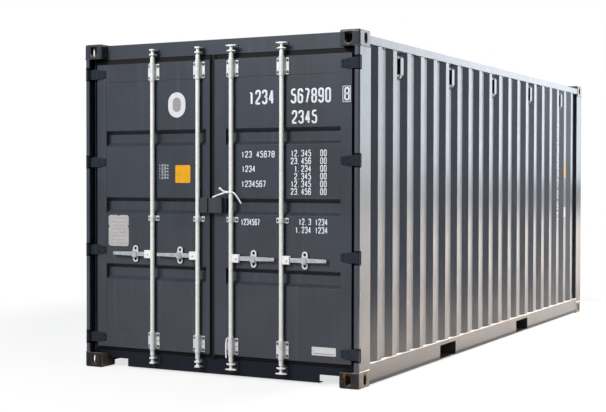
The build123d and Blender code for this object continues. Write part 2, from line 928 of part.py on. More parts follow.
def rod_fittings(name, rods, side):
    brackets = []
    catches = []
    for x in rods:
        brackets.append(rod_bracket(x, top_bracket_centre, large_bracket, leaf_face, saddle_overhang))
        brackets.append(rod_bracket(x, middle_bracket_centre, small_bracket, panel_face, 0))
        brackets.append(rod_bracket(x, bottom_bracket_centre, large_bracket, leaf_face, saddle_overhang))
        catches.append(handle_catch(x + side * catch_distance(side), handle_level(side)))
    save(f"{name}_rod_brackets", *brackets)
    save(f"{name}_handle_catches", *catches)


def lozenge_flange(x, outer, inward, reach):
    """Flange along X from its outer face inwards, thinner and narrower towards its tips."""
    half = cam_half_width
    tip = cam_tip_half_width
    hub = cam_hub_radius
    plan = outline([
        (-reach, -tip), (-hub, -half), (hub, -half), (reach, -tip),
        (reach, tip), (hub, half), (-hub, half), (-reach, tip),
    ])
    plan = Pos(x, rod_axis, outer) * fillet(plan.vertices(), cam_tip_rounding)
    section = [
        (x - reach, outer),
        (x + reach, outer),
        (x + reach, outer + inward * cam_tip),
        (x + hub, outer + inward * cam_flange),
        (x - hub, outer + inward * cam_flange),
        (x - reach, outer + inward * cam_tip),
    ]
    wedge = along_y(section, rod_axis - half, rod_axis + half)
    return extrude(plan, amount=inward * cam_flange) & wedge


def cam(x, centre, end, front_facing):
    """Two flanges with a waist between them, above and below the keeper; end is the side off the rod."""
    half = cam_gap / 2 + cam_flange
    body = upright(cam_hub_radius, x, rod_axis, centre - half, centre + half)
    for side in (-1, 1):
        outer = centre + side * half
        if front_facing:
            reach = cam_end_reach if side == end else cam_inner_reach
            body += lozenge_flange(x, outer, -side, reach)
        else:
            deep = cam_rear_reach + cam_half_width
            plan = RectangleRounded(2 * cam_side_reach, deep, cam_side_rounding)
            plan = Pos(x, rod_axis + (cam_rear_reach - cam_half_width) / 2, outer) * plan
            body += extrude(plan, amount=-side * cam_flange)
    return body


def lock_rod(name, x, side):
    """Round bar with a cam at each end and the fork that carries its handle."""
    bottom_cam, top_cam = cam_heights()
    rod = upright(rod_radius, x, rod_axis, rod_bottom, rod_top)
    rod += upright(cam_hub_radius, x, rod_axis, bottom_cam, top_cam)
    rod += cam(x, bottom_cam, -1, side > 0)
    rod += cam(x, top_cam, 1, side > 0)
    half = handle_thickness / 2 + hub_clearance
    level = handle_level(side)
    cheek_x = sorted((x, x + side * hub_length))
    cheek_z = (level - hub_height / 2, level + hub_height / 2)
    rod += block(cheek_x, (rod_axis - half - hub_plate, rod_axis - half), cheek_z)
    rod += block(cheek_x, (rod_axis + half, rod_axis + half + hub_plate), cheek_z)
    rivet_x = x + side * handle_pivot
    rod += across(rivet_radius, rivet_x, level, rod_axis - half, rod_axis + half)
    save(f"{name}_lock_rod", rod)


def handle(name, x, side):
    """Flat lever on the rivet of its rod, with the hasp plate that covers the catch."""
    level = handle_level(side)
    middle = x + side * catch_distance(side)
    pivot = x + side * handle_pivot
    start = pivot - side * handle_depth / 2
    tip = x + side * handle_length
    eye = handle_depth / 2
    end = handle_tip_depth / 2
    lever = [
        (pivot, level - eye),
        (middle, level - eye),
        (tip, level - end),
        (tip, level + end),
        (middle, level + eye),
        (pivot, level + eye),
    ]
    y = (rod_axis - handle_thickness / 2, rod_axis + handle_thickness / 2)
    bar = along_y(lever, *y)
    bar += across(abs(start - pivot), pivot, level, *y)
    bar += block(
        (middle - hasp_width / 2, middle + hasp_width / 2),
        (y[0] - hasp_plate, y[0]),
        (level - hasp_height / 2, level + hasp_height / 2),
    )
    bar -= across(rivet_radius + rivet_clearance, pivot, level, *y)
    save(f"{name}_handle", bar)


def lock_box(name, edges, side):
    """Half of the box over the padlock, open at the bottom and where the halves meet."""
    front = -end_face + lock_box_recess
    x = tuple(sorted(edges))
    half = block(x, (front, leaf_face), (lock_box_bottom, lock_box_top))
    inner = (x[0] - side * lock_box_wall, x[1] - side * lock_box_wall)
    half -= block(inner, (front + lock_box_wall, leaf_face), (lock_box_bottom, lock_box_top - lock_box_wall))
    save(f"{name}_lock_box", half)


def doors():
    leaves = (
        ("right", 1, right_free_edge, right_free_stile, right_lip_reach, right_rods, lock_box_right_reach),
        ("left", -1, left_free_edge, left_free_stile, left_lip_reach, left_rods, lock_box_left_reach),
    )
    for name, side, free_edge, free_stile, lip_reach, rods, box_reach in leaves:
        hinge_edge = side * leaf_half_span
        inner = leaf_frame(name, hinge_edge, free_edge, free_stile)
        leaf_panel(name, inner)
        leaf_gasket(name, hinge_edge, free_edge, lip_reach)
        hinge_blades(name, hinge_edge)
        rod_fittings(name, rods, side)
        box_edges = (lip_seam + side * lock_box_split / 2, meeting_line + side * box_reach)
        lock_box(name, box_edges, side)
        for place, x in zip(("inner", "outer"), sorted(rods, key=abs)):
            lock_rod(f"{name}_{place}", x, side)
            handle(f"{name}_{place}", x, side)


os.makedirs("parts", exist_ok=True)
corner_castings()
rear_posts()
front_posts()
top_side_rails()
bottom_side_rails()
fork_pockets()
side_walls()
front_beams()
front_wall()
roof()
floor()
cross_members()
door_header()
door_sill()
hinge_lugs()
cam_keepers()
side_vents()
doors()
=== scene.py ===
import json
import math

import bmesh
import bpy
from mathutils import Matrix, Vector


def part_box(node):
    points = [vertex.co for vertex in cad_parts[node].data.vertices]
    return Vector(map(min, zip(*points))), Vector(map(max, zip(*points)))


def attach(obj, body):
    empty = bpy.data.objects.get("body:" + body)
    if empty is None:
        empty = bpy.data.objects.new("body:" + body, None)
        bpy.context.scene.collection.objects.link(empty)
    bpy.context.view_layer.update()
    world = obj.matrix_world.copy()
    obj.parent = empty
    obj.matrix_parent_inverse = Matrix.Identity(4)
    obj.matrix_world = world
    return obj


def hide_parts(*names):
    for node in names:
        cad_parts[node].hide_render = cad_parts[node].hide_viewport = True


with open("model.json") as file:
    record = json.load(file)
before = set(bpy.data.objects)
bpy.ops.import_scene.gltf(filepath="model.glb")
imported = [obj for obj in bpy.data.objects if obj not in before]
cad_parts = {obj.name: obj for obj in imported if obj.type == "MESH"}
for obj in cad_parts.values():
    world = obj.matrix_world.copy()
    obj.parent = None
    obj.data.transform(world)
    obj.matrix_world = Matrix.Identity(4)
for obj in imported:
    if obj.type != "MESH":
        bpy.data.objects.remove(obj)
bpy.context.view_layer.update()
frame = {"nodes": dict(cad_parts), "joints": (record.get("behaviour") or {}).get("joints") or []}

sides = {"right": 1, "left": -1}
places = ("inner", "outer")
jointAt = {joint["name"]: Vector(joint["pos_m"]) for joint in frame["joints"]}
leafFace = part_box("right_door_frame")[0].y  # outer face of the door stiles and rails
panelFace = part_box("right_door_panel")[0].y  # pressed sheet, a little behind that
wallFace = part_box("side_wall_right")[1].x  # outer flats of the side walls
rodLine = {(side, place): jointAt[f"{side}_{place}_rod_turn"] for side in sides for place in places}


# Node trees: Wire is one output, Tree adds nodes

def screen(red, green, blue):  # a colour as seen on a screen, 0 to 255, made linear
    def linear(value):
        value /= 255
        return value / 12.92 if value <= 0.04045 else ((value + 0.055) / 1.055) ** 2.4
    return (linear(red), linear(green), linear(blue), 1.0)


def maths(operation, turned=False):  # an operator of Wire, turned when the wire stands second
    def method(self, other):
        first, second = (other, self) if turned else (self, other)
        return self.tree.add("ShaderNodeMath", {0: first, 1: second}, operation=operation)
    return method


class Wire:
    def __init__(self, tree, socket):
        self.tree = tree
        self.socket = socket

    def of(self, output):  # another output of the same node
        return Wire(self.tree, self.socket.node.outputs[output])

    __add__ = maths("ADD")
    __radd__ = maths("ADD", turned=True)
    __sub__ = maths("SUBTRACT")
    __rsub__ = maths("SUBTRACT", turned=True)
    __mul__ = maths("MULTIPLY")
    __rmul__ = maths("MULTIPLY", turned=True)
    __truediv__ = maths("DIVIDE")
    atMost = maths("MINIMUM")


class Tree:
    def __init__(self, nodeTree):
        self.nodes = nodeTree.nodes
        self.links = nodeTree.links

    def add(self, kind, sockets=None, out=0, **settings):
        node = self.nodes.new(kind)
        for name, value in settings.items():
            setattr(node, name, value)
        for key, value in (sockets or {}).items():
            self.fill(node.inputs[key], value)
        return Wire(self, node.outputs[out]) if node.outputs else None

    def fill(self, socket, value):
        if isinstance(value, Wire):
            self.links.new(value.socket, socket)
        elif isinstance(value, list):  # several wires into one socket
            for wire in value:
                self.links.new(wire.socket, socket)
        elif socket.type == "RGBA":  # every fixed colour is written as on a screen
            socket.default_value = screen(*value)
        else:
            socket.default_value = value


# Shader words used by every finish

def stretch(tree, place, scale):
    return tree.add("ShaderNodeMapping", {"Vector": place, "Scale": scale})


def noise(tree, place, scale, detail=3.0, roughness=0.55):
    sockets = {"Vector": place, "Scale": scale, "Detail": detail, "Roughness": roughness}
    return tree.add("ShaderNodeTexNoise", sockets)


def rise(tree, value, low, high):  # 0 below low, 1 above high, smooth between
    sockets = {"Value": value, "From Min": low, "From Max": high}
    return tree.add("ShaderNodeMapRange", sockets, interpolation_type="SMOOTHSTEP")


def blendColour(tree, factor, first, second):
    return tree.add("ShaderNodeMix", {0: factor, 6: first, 7: second}, 2, data_type="RGBA")


def roundedEdges(tree, radius):
    return tree.add("ShaderNodeBevel", {"Radius": radius}, samples=6)


def edgeMask(tree, radius, start, full):  # 1 on corners and arrises
    soft = roundedEdges(tree, radius)
    flat = tree.add("ShaderNodeNewGeometry", out="True Normal")
    agree = tree.add("ShaderNodeVectorMath", {0: soft, 1: flat}, "Value", operation="DOT_PRODUCT")
    return rise(tree, 1 - agree, start, full)


def bump(tree, height, strength, distance, normal):
    sockets = {"Strength": strength, "Distance": distance, "Height": height, "Normal": normal}
    return tree.add("ShaderNodeBump", sockets)


def startFinish(name):  # its material, its tree and the place on the object
    material = bpy.data.materials.new(name)
    material.use_nodes = True
    material.node_tree.nodes.clear()
    tree = Tree(material.node_tree)
    return material, tree, tree.add("ShaderNodeTexCoord", out="Object")


def endFinish(tree, sockets):
    shader = tree.add("ShaderNodeBsdfPrincipled", sockets)
    tree.add("ShaderNodeOutputMaterial", {"Surface": shader})


# Finishes: a Span is where a pattern starts and where it shows in full, bumps are a strength and a depth

paintLook = {
    "dark": (41, 47, 58), "light": (51, 59, 71), "cloudScale": 1.7, "cloudSpan": (0.25, 0.75),
    "patchScale": 11.0, "fineScale": 160.0, "bumps": (0.10, 0.0012),
    "roughness": 0.27, "gloss": 0.50, "edge": 0.004, "edgeSpan": (0.02, 0.25),
    "streak": (74, 79, 86), "rain": (26.0, 26.0, 0.9), "rainSpan": (0.52, 0.78), "rainAmount": 0.30,
    "dust": (124, 112, 98), "dustTop": 0.9, "dustAmount": 0.16,
    "primer": (96, 92, 86), "chips": 0.35, "chipFrom": 0.52, "chipFade": 0.16,
    "rust": (96, 58, 36), "rustSpan": (0.72, 0.86), "rustAmount": 0.0,
    # the next two lines: a dark foot band that is painted shade, and a pale colour that is painted light on
    # sides that look along X
    "splash": (32, 37, 46), "splashTop": 0.0, "lowShadeFade": 0.012, "splashRough": 0.3,
    "paintedLightFilm": (196, 180, 156), "paintedLightSpan": (0.5, 0.95), "sideDust": 0.0,
    "wave": 0.0, "waveStretch": (2.6, 2.6, 1.5),
}


def paintedSteel(name, **changes):
    look = {**paintLook, **changes}
    material, tree, place = startFinish(name)
    height = tree.add("ShaderNodeSeparateXYZ", {"Vector": place}, "Z")
    cloud = noise(tree, place, look["cloudScale"], 4.0)
    patch = noise(tree, place, look["patchScale"], 4.0, 0.6)
    fine = noise(tree, place, look["fineScale"], 2.0)
    run = noise(tree, stretch(tree, place, look["rain"]), 1.0)  # rain marks run down
    edge = edgeMask(tree, look["edge"], *look["edgeSpan"])
    streak = rise(tree, run, *look["rainSpan"]) * look["rainAmount"]
    low = 1 - rise(tree, height, 0.0, look["dustTop"])
    # painted shade: a dark band along the foot of the piece, up to its given top, stands for the shade there
    lowShadeLine = height + look["lowShadeFade"] * patch
    splash = 1 - rise(tree, lowShadeLine, look["splashTop"], look["splashTop"] + look["lowShadeFade"])
    dust = low * (0.45 + 0.8 * patch) * look["dustAmount"]
    chip = edge * rise(tree, patch, look["chipFrom"], look["chipFrom"] + look["chipFade"]) * look["chips"]
    rust = rise(tree, patch + 0.35 * edge + 0.15 * low, *look["rustSpan"]) * look["rustAmount"]
    colour = blendColour(tree, rise(tree, cloud, *look["cloudSpan"]), look["dark"], look["light"])
    colour = blendColour(tree, streak, colour, look["streak"])
    colour = blendColour(tree, dust, colour, look["dust"])
    colour = blendColour(tree, splash, colour, look["splash"])
    if look["sideDust"]:  # painted light: faces that look along X made paler over the painted shade at the foot
        facing = tree.add("ShaderNodeNewGeometry", out="True Normal")
        across = tree.add("ShaderNodeSeparateXYZ", {"Vector": facing}, "X")
        paintedLightFilm = rise(tree, across * across, *look["paintedLightSpan"]) * splash * look["sideDust"]
        colour = blendColour(tree, paintedLightFilm, colour, look["paintedLightFilm"])
    colour = blendColour(tree, chip, colour, look["primer"])
    colour = blendColour(tree, rust, colour, look["rust"])
    rough = look["roughness"] + 0.10 * patch + 0.5 * dust + 0.25 * chip + 0.4 * rust
    rough = rough + look["splashRough"] * splash
    hills = 0.5 * fine + 0.5 * patch + 1.2 * rust
    normal = bump(tree, hills, *look["bumps"], roundedEdges(tree, look["edge"]))
    if look["wave"]:  # long shallow dents in thin sheet
        dent = noise(tree, stretch(tree, place, look["waveStretch"]), 1.0, 1.0)
        normal = bump(tree, dent, 1.0, look["wave"], normal)
    sockets = {"Base Color": colour, "Roughness": rough, "Normal": normal}
    endFinish(tree, {**sockets, "Specular IOR Level": look["gloss"]})
    return material


zincLook = {
    "dull": (216, 213, 206), "bright": (238, 235, 228), "white": (232, 229, 221), "grime": (128, 122, 114),
    "spangleScale": 70.0, "bloomScale": 7.0, "bloomSpan": (0.50, 0.72), "bloomAmount": 0.55,
    "run": (40.0, 40.0, 4.0), "grimeSpan": (0.62, 0.82), "grimeAmount": 0.20,
    "roughness": 0.42, "metal": 0.10, "edge": 0.003, "bumps": (0.10, 0.0005),
}


def galvanised(name, **changes):
    look = {**zincLook, **changes}
    material, tree, place = startFinish(name)
    sockets = {"Vector": place, "Scale": look["spangleScale"]}
    spangle = tree.add("ShaderNodeTexVoronoi", sockets, "Color")
    flake = tree.add("ShaderNodeSeparateColor", {"Color": spangle})
    cloud = noise(tree, place, look["bloomScale"], 4.0)
    stain = noise(tree, stretch(tree, place, look["run"]), 1.0)
    bloom = rise(tree, cloud, *look["bloomSpan"]) * look["bloomAmount"]  # white zinc bloom
    grime = rise(tree, stain, *look["grimeSpan"]) * look["grimeAmount"]
    colour = blendColour(tree, 0.35 + 0.65 * flake, look["dull"], look["bright"])
    colour = blendColour(tree, bloom, colour, look["white"])
    colour = blendColour(tree, grime, colour, look["grime"])
    rough = look["roughness"] + 0.10 * flake + 0.22 * bloom + 0.15 * grime
    metal = look["metal"] * (1 - 0.6 * bloom - 0.4 * grime)
    normal = bump(tree, flake + 0.6 * cloud, *look["bumps"], roundedEdges(tree, look["edge"]))
    endFinish(tree, {"Base Color": colour, "Roughness": rough, "Metallic": metal, "Normal": normal})
    return material


rubberLook = {
    "black": (21, 19, 19), "fineScale": 220.0, "bumps": (0.15, 0.0008),
    "roughness": 0.62, "gloss": 0.12, "edge": 0.003,
    "chalk": (36, 32, 31), "cloudScale": 9.0, "chalkSpan": (0.5, 0.8), "chalkAmount": 0.35,
}


def sealRubber(name):
    material, tree, place = startFinish(name)
    cloud = noise(tree, place, rubberLook["cloudScale"], 4.0)
    fine = noise(tree, place, rubberLook["fineScale"], 2.0)
    chalk = rise(tree, cloud, *rubberLook["chalkSpan"]) * rubberLook["chalkAmount"]
    colour = blendColour(tree, chalk, rubberLook["black"], rubberLook["chalk"])
    normal = bump(tree, fine, *rubberLook["bumps"], roundedEdges(tree, rubberLook["edge"]))
    rough = rubberLook["roughness"] + 0.25 * chalk
    sockets = {"Base Color": colour, "Roughness": rough, "Normal": normal}
    endFinish(tree, {**sockets, "Specular IOR Level": rubberLook["gloss"]})
    return material


waxLook = {
    "wax": (30, 31, 34), "lumpScale": 38.0, "roughness": 0.48, "edge": 0.004, "bumps": (0.35, 0.002),
    "mud": (92, 82, 70), "mudScale": 2.3, "mudSpan": (0.60, 0.85), "mudAmount": 0.45,
}


def underPaint(name):  # thick dark wax over the underframe
    material, tree, place = startFinish(name)
    lump = noise(tree, place, waxLook["lumpScale"], 4.0, 0.65)
    cloud = noise(tree, place, waxLook["mudScale"], 4.0)
    mud = rise(tree, cloud + 0.25 * lump, *waxLook["mudSpan"]) * waxLook["mudAmount"]
    colour = blendColour(tree, mud, waxLook["wax"], waxLook["mud"])
    normal = bump(tree, lump, *waxLook["bumps"], roundedEdges(tree, waxLook["edge"]))
    rough = waxLook["roughness"] + 0.35 * mud
    endFinish(tree, {"Base Color": colour, "Roughness": rough, "Normal": normal})
    return material


plyLook = {
    "dark": (96, 62, 42), "light": (140, 98, 66), "tint": (82, 52, 38), "worn": (128, 112, 96),
    "grain": (34.0, 2.2, 34.0), "grainSpan": (0.30, 0.70), "pore": (420.0, 18.0, 420.0),
    "wornScale": 3.1, "wornSpan": (0.52, 0.74), "wornAmount": 0.5, "tintAmount": 0.45,
    "roughness": 0.55, "edge": 0.002, "bumps": (0.25, 0.0012),
}


def plywood(name):
    material, tree, place = startFinish(name)
    tint = tree.add("ShaderNodeAttribute", out="Fac", attribute_name="tint")  # one value a board
    grain = noise(tree, stretch(tree, place, plyLook["grain"]), 1.0, 6.0, 0.62)
    pore = noise(tree, stretch(tree, place, plyLook["pore"]), 1.0, 2.0)
    scuff = noise(tree, place, plyLook["wornScale"], 5.0, 0.6)
    worn = rise(tree, scuff, *plyLook["wornSpan"]) * plyLook["wornAmount"]
    colour = blendColour(tree, rise(tree, grain, *plyLook["grainSpan"]), plyLook["dark"], plyLook["light"])
    colour = blendColour(tree, plyLook["tintAmount"] * tint, colour, plyLook["tint"])
    colour = blendColour(tree, worn, colour, plyLook["worn"])
    normal = bump(tree, grain + 0.5 * pore, *plyLook["bumps"], roundedEdges(tree, plyLook["edge"]))
    rough = plyLook["roughness"] + 0.25 * worn
    endFinish(tree, {"Base Color": colour, "Roughness": rough, "Normal": normal})
    return material


coatLook = {
    "wearScale": 24.0, "wearSpan": (0.48, 0.78), "fineScale": 300.0, "bumps": (0.06, 0.0004), "gloss": 0.25,
}


def plainCoat(name, clean, dirty, roughness, amount=0.35):  # decals, painted marks, plastic
    material, tree, place = startFinish(name)
    cloud = noise(tree, place, coatLook["wearScale"], 5.0, 0.6)
    fine = noise(tree, place, coatLook["fineScale"], 2.0)
    wear = rise(tree, cloud, *coatLook["wearSpan"]) * amount
    colour = blendColour(tree, wear, clean, dirty)
    flat = tree.add("ShaderNodeNewGeometry", out="Normal")
    normal = bump(tree, fine, *coatLook["bumps"], flat)
    sockets = {"Base Color": colour, "Roughness": roughness + 0.3 * wear, "Normal": normal}
    endFinish(tree, {**sockets, "Specular IOR Level": coatLook["gloss"]})
    return material


finish = {
    "frame": paintedSteel("framePaint"),
    # painted shade: the dark band at the rail's foot stands for the shade under its bottom bend
    "rail": paintedSteel("railPaint", splashTop=0.040),
    "wall": paintedSteel("wallPaint", dark=(38, 46, 59), light=(47, 57, 72), dustAmount=0.10, wave=0.008),
    "door": paintedSteel("doorPaint", dark=(43, 46, 53), light=(52, 56, 64), gloss=0.36, dustAmount=0.045,
                         dustTop=1.5, edge=0.0025),
    "header": paintedSteel("headerPaint", dark=(41, 45, 53), light=(49, 54, 63), gloss=0.30, roughness=0.42),
    # painted shade: the sill is a far darker copy of the doorway paint, for the shade it sits in under the
    # doors
    "shadedSill": paintedSteel("shadedSillPaint", dark=(13, 17, 25), light=(18, 23, 32), streak=(24, 29, 38), gloss=0.14,
                         roughness=0.46, dustAmount=0.0),
    "hinge": paintedSteel("hingePaint", dark=(32, 36, 43), light=(40, 45, 53), gloss=0.10, dustAmount=0.02,
                          edge=0.002),
    # painted shade: the hinge lugs are near black to stand for the shade in the post's notch behind them
    "lugShade": paintedSteel("hingeLugShadePaint", dark=(14, 14, 16), light=(20, 20, 22), streak=(24, 24, 26),
                        gloss=0.05, roughness=0.6, dustAmount=0.0),
    # painted shade: the lower castings are darkened at the foot; painted light: their faces that look along X
    # are made pale again
    "casting": paintedSteel("castingPaint", dark=(43, 46, 52), light=(51, 55, 62), chips=0.6, chipFrom=0.36,
                            rustAmount=0.75, primer=(174, 148, 118), rust=(104, 74, 54), dustAmount=0.0,
                            splash=(15, 14, 14), splashTop=0.20, splashRough=0.0, roughness=0.16, gloss=0.26,
                            edge=0.014, sideDust=0.38),
    "lockBox": paintedSteel("lockBoxPaint", dark=(44, 46, 50), light=(55, 57, 62), gloss=0.36),
    "under": underPaint("underframeWax"),
    "zinc": galvanised("galvanisedSteel"),
    "bracket": galvanised("bracketSteel", dull=(192, 191, 187), bright=(222, 220, 215), white=(212, 210, 205),
                          grime=(96, 94, 90), metal=0.15),
    "handle": galvanised("handleSteel", dull=(138, 139, 142), bright=(178, 179, 182), white=(162, 162, 164),
                         grime=(88, 86, 84), roughness=0.34, metal=0.45),
    "rubber": sealRubber("gasketRubber"),
    "plywood": plywood("floorPlywood"),
    "bolt": galvanised("boltSteel", dull=(62, 64, 66), bright=(96, 98, 98), white=(82, 84, 86),
                       grime=(40, 38, 36), roughness=0.45),
    "mark": plainCoat("whiteMarkPaint", (232, 234, 236), (150, 152, 154), 0.5),
    # painted highlight: the pale coat for the lines along the rail ledges
    "ledge": plainCoat("ledgeHighlight", (238, 230, 220), (206, 196, 184), 0.7),
    # painted shade: the near-black coat for the sheets inside the vent hoods
    "black": plainCoat("paintedVentShade", (10, 10, 11), (18, 17, 16), 0.9),
    "sticker": plainCoat("paleSticker", (214, 210, 209), (164, 160, 157), 0.4),
    "inset": plainCoat("greySticker", (150, 146, 147), (118, 114, 113), 0.4),
    "yellow": plainCoat("yellowSticker", (226, 160, 22), (176, 122, 26), 0.45),
    "strip": plainCoat("whitePlasticStrip", (240, 240, 238), (206, 204, 200), 0.35, 0.4),
    "plate": galvanised("brushedPlate", dull=(158, 154, 151), bright=(182, 177, 174), white=(170, 166, 163),
                        roughness=0.40, metal=0.15),
}
nodeFinish = {
    "corner_castings": "casting", "side_wall": "wall", "front_wall": "wall", "roof": "wall",
    "side_vents": "wall", "cross_members": "under", "fork_pockets": "under", "floor": "plywood",
    "lock_box": "lockBox", "door_gasket": "rubber", "rod_brackets": "bracket", "handle_catches": "bracket",
    "lock_rod": "zinc", "handle": "handle", "door_header": "header", "door_sill": "shadedSill",
    "door_frame": "door", "door_panel": "door", "hinge_blades": "hinge", "hinge_lugs": "lugShade",
    "bottom_side_rail": "rail",
}
for nodeName, nodeObject in frame["nodes"].items():
    words = [word for word in nodeFinish if word in nodeName]
    chosen = nodeFinish[max(words, key=len)] if words else "frame"
    nodeObject.data.materials.clear()
    nodeObject.data.materials.append(finish[chosen])
print("finishes:", len(finish))


# Making meshes

def plainMesh(name, points, edges=(), faces=()):
    mesh = bpy.data.meshes.new(name)
    mesh.from_pydata(points, edges, faces)
    mesh.update()
    return mesh


def pathMesh(name, paths):  # chains of points as loose edges; a repeated end point closes a chain
    points = []
    edges = []
    for path in paths:
        first = len(points)
        closed = path[0] == path[-1]
        chain = path[:-1] if closed else path
        points += chain
        edges += [(first + step, first + step + 1) for step in range(len(chain) - 1)]
        if closed:
            edges.append((first + len(chain) - 1, first))
    return plainMesh(name, points, edges)


def newObject(name, content):  # a mesh, a lamp or a lens
    piece = bpy.data.objects.new(name, content)
    bpy.context.collection.objects.link(piece)
    return piece


def rideOn(piece, body):
    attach(piece, body)
    return piece


socketKinds = {float: "NodeSocketFloat", int: "NodeSocketInt", tuple: "NodeSocketVector"}


def startGroup(name, inputs):  # an input is its first value, or the kind of its socket
    group = bpy.data.node_groups.new(name, "GeometryNodeTree")
    group.interface.new_socket("Geometry", in_out="INPUT", socket_type="NodeSocketGeometry")
    for inputName, value in {**inputs, "Material": "NodeSocketMaterial"}.items():
        kind = socketKinds.get(type(value), value)
        socket = group.interface.new_socket(inputName, in_out="INPUT", socket_type=kind)
        if kind != value:
            socket.default_value = value
    group.interface.new_socket("Geometry", in_out="OUTPUT", socket_type="NodeSocketGeometry")
    tree = Tree(group)
    return group, tree, tree.add("NodeGroupInput")


def endGroup(tree, geometry, given):
    solid = tree.add("GeometryNodeRealizeInstances", {"Geometry": geometry})
    coated = tree.add("GeometryNodeSetMaterial", {"Geometry": solid, "Material": given.of("Material")})
    tree.add("NodeGroupOutput", {"Geometry": coated})


def growMesh(name, seedMesh, group, values, coat, body):  # runs a tree, keeps a plain mesh
    values = {**values, "Material": finish[coat]}
    seed = newObject(name + "Seed", seedMesh)
    modifier = seed.modifiers.new(group.name, "NODES")
    modifier.node_group = group
    for item in group.interface.items_tree:
        if item.in_out == "INPUT" and item.name in values:
            modifier[item.identifier] = values[item.name]
    evaluated = seed.evaluated_get(bpy.context.evaluated_depsgraph_get())
    mesh = bpy.data.meshes.new_from_object(evaluated)
    mesh.name = name
    bpy.data.objects.remove(seed)
    return rideOn(newObject(name, mesh), body)


# Bolts and rivets: one head on each seed point

headShape = {"topShare": 0.41, "washerFacets": 12}  # a head narrows a little towards its top


def boltGroup():
    group, tree, given = startGroup("boltHeads", {
        "Head width": 0.016, "Head height": 0.008, "Washer width": 0.024, "Washer height": 0.002, "Sides": 6,
        "Turn": "NodeSocketRotation",
    })
    washer = tree.add("GeometryNodeMeshCylinder", {
        "Vertices": headShape["washerFacets"], "Radius": given.of("Washer width") / 2,
        "Depth": given.of("Washer height")})
    head = tree.add("GeometryNodeMeshCone", {
        "Vertices": given.of("Sides"), "Radius Bottom": given.of("Head width") / 2,
        "Radius Top": given.of("Head width") * headShape["topShare"], "Depth": given.of("Head height")})
    lift = tree.add("ShaderNodeCombineXYZ", {"Z": given.of("Washer height") / 2})
    head = tree.add("GeometryNodeTransform", {"Geometry": head, "Translation": lift})
    both = tree.add("GeometryNodeJoinGeometry", {"Geometry": [washer, head]})
    spread = tree.add("GeometryNodeInstanceOnPoints", {
        "Points": given.of("Geometry"), "Instance": both, "Rotation": given.of("Turn")})
    endGroup(tree, spread, given)
    return group


boltHeads = boltGroup()
towardDoorEnd = (math.radians(90), 0.0, 0.0)  # head turned from +Z to -Y
upward = (0.0, 0.0, 0.0)


def bolts(name, points, look, body, coat, turn=towardDoorEnd):
    values = {"Sides": look["sides"], "Turn": turn}
    values["Head width"], values["Head height"] = look["head"]
    values["Washer width"], values["Washer height"] = look["washer"]
    return growMesh(name, plainMesh(name, points), boltHeads, values, coat, body)


bracketBolt = {
    "plate": 0.006, "fromRod": 0.039, "endSpread": 0.044, "endHalf": 0.073,
    "middleHeight": 1.206, "head": (0.016, 0.008), "washer": (0.024, 0.002), "sides": 6,
}
bracketDot = {"head": (0.009, 0.003), "washer": (0.010, 0.001), "sides": 10}
bladeRivet = {
    "count": 4, "fromTip": (0.018, 0.062), "spread": 0.017, "tipRise": 0.006, "edgeRise": 0.0145,
    "half": 0.040, "head": (0.015, 0.004), "washer": (0.018, 0.001), "sides": 8,
}
forkRivet = {"fromRod": 0.0114, "head": (0.018, 0.006), "washer": (0.022, 0.001), "sides": 12}
bracketFront = leafFace - bracketBolt["plate"]  # outer face of the bracket plates


def bracketPoints(side):
    low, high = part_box(f"{side}_rod_brackets")
    ends = (low.z + bracketBolt["endHalf"], high.z - bracketBolt["endHalf"])
    points = []
    for place in places:
        for across in (-bracketBolt["fromRod"], bracketBolt["fromRod"]):
            x = rodLine[side, place].x + across
            for end in ends:
                for up in (-bracketBolt["endSpread"], bracketBolt["endSpread"]):
                    points.append((x, bracketFront, end + up))
            points.append((x, bracketFront, bracketBolt["middleHeight"]))
    return points


def dotPoints(side):  # a small rivet in the middle of each foot bracket
    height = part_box(f"{side}_rod_brackets")[0].z + bracketBolt["endHalf"]
    across = [rodLine[side, place].x + bracketBolt["fromRod"] for place in places]
    return [(x, bracketFront, height) for x in across]


def bladePoints(side):
    sign = sides[side]
    low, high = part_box(f"{side}_hinge_blades")
    leafEdge = abs(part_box(f"{side}_door_frame")[1 if sign > 0 else 0].x)
    tip = min(abs(low.x), abs(high.x))
    half = bladeRivet["half"]
    pitch = (high.z - low.z - 2 * half) / (bladeRivet["count"] - 1)
    points = []
    for index in range(bladeRivet["count"]):
        centre = low.z + half + index * pitch
        for reach in bladeRivet["fromTip"]:
            share = reach / (leafEdge - tip)
            depth = bladeRivet["tipRise"] + share * (bladeRivet["edgeRise"] - bladeRivet["tipRise"])
            for up in (-bladeRivet["spread"], bladeRivet["spread"]):
                points.append((sign * (tip + reach), leafFace - depth, centre + up))
    return points


for side in sides:
    door = f"{side}_door"
    bolts(f"{side}_bracket_bolts", bracketPoints(side), bracketBolt, door, "bolt")
    bolts(f"{side}_bracket_dots", dotPoints(side), bracketDot, door, "bolt")
    bolts(f"{side}_hinge_rivets", bladePoints(side), bladeRivet, door, "hinge")
    for place in places:
        pivot = jointAt[f"{side}_{place}_handle_lift"]
        seat = [(pivot.x, rodLine[side, place].y - forkRivet["fromRod"], pivot.z)]
        rod = f"{side}_{place}_rod"
        bolts(f"{side}_{place}_fork_rivet", seat, forkRivet, rod, "zinc")
print("bolts done")


# Painted numbers: each digit is a few strokes in a cell 1 wide and 2 high

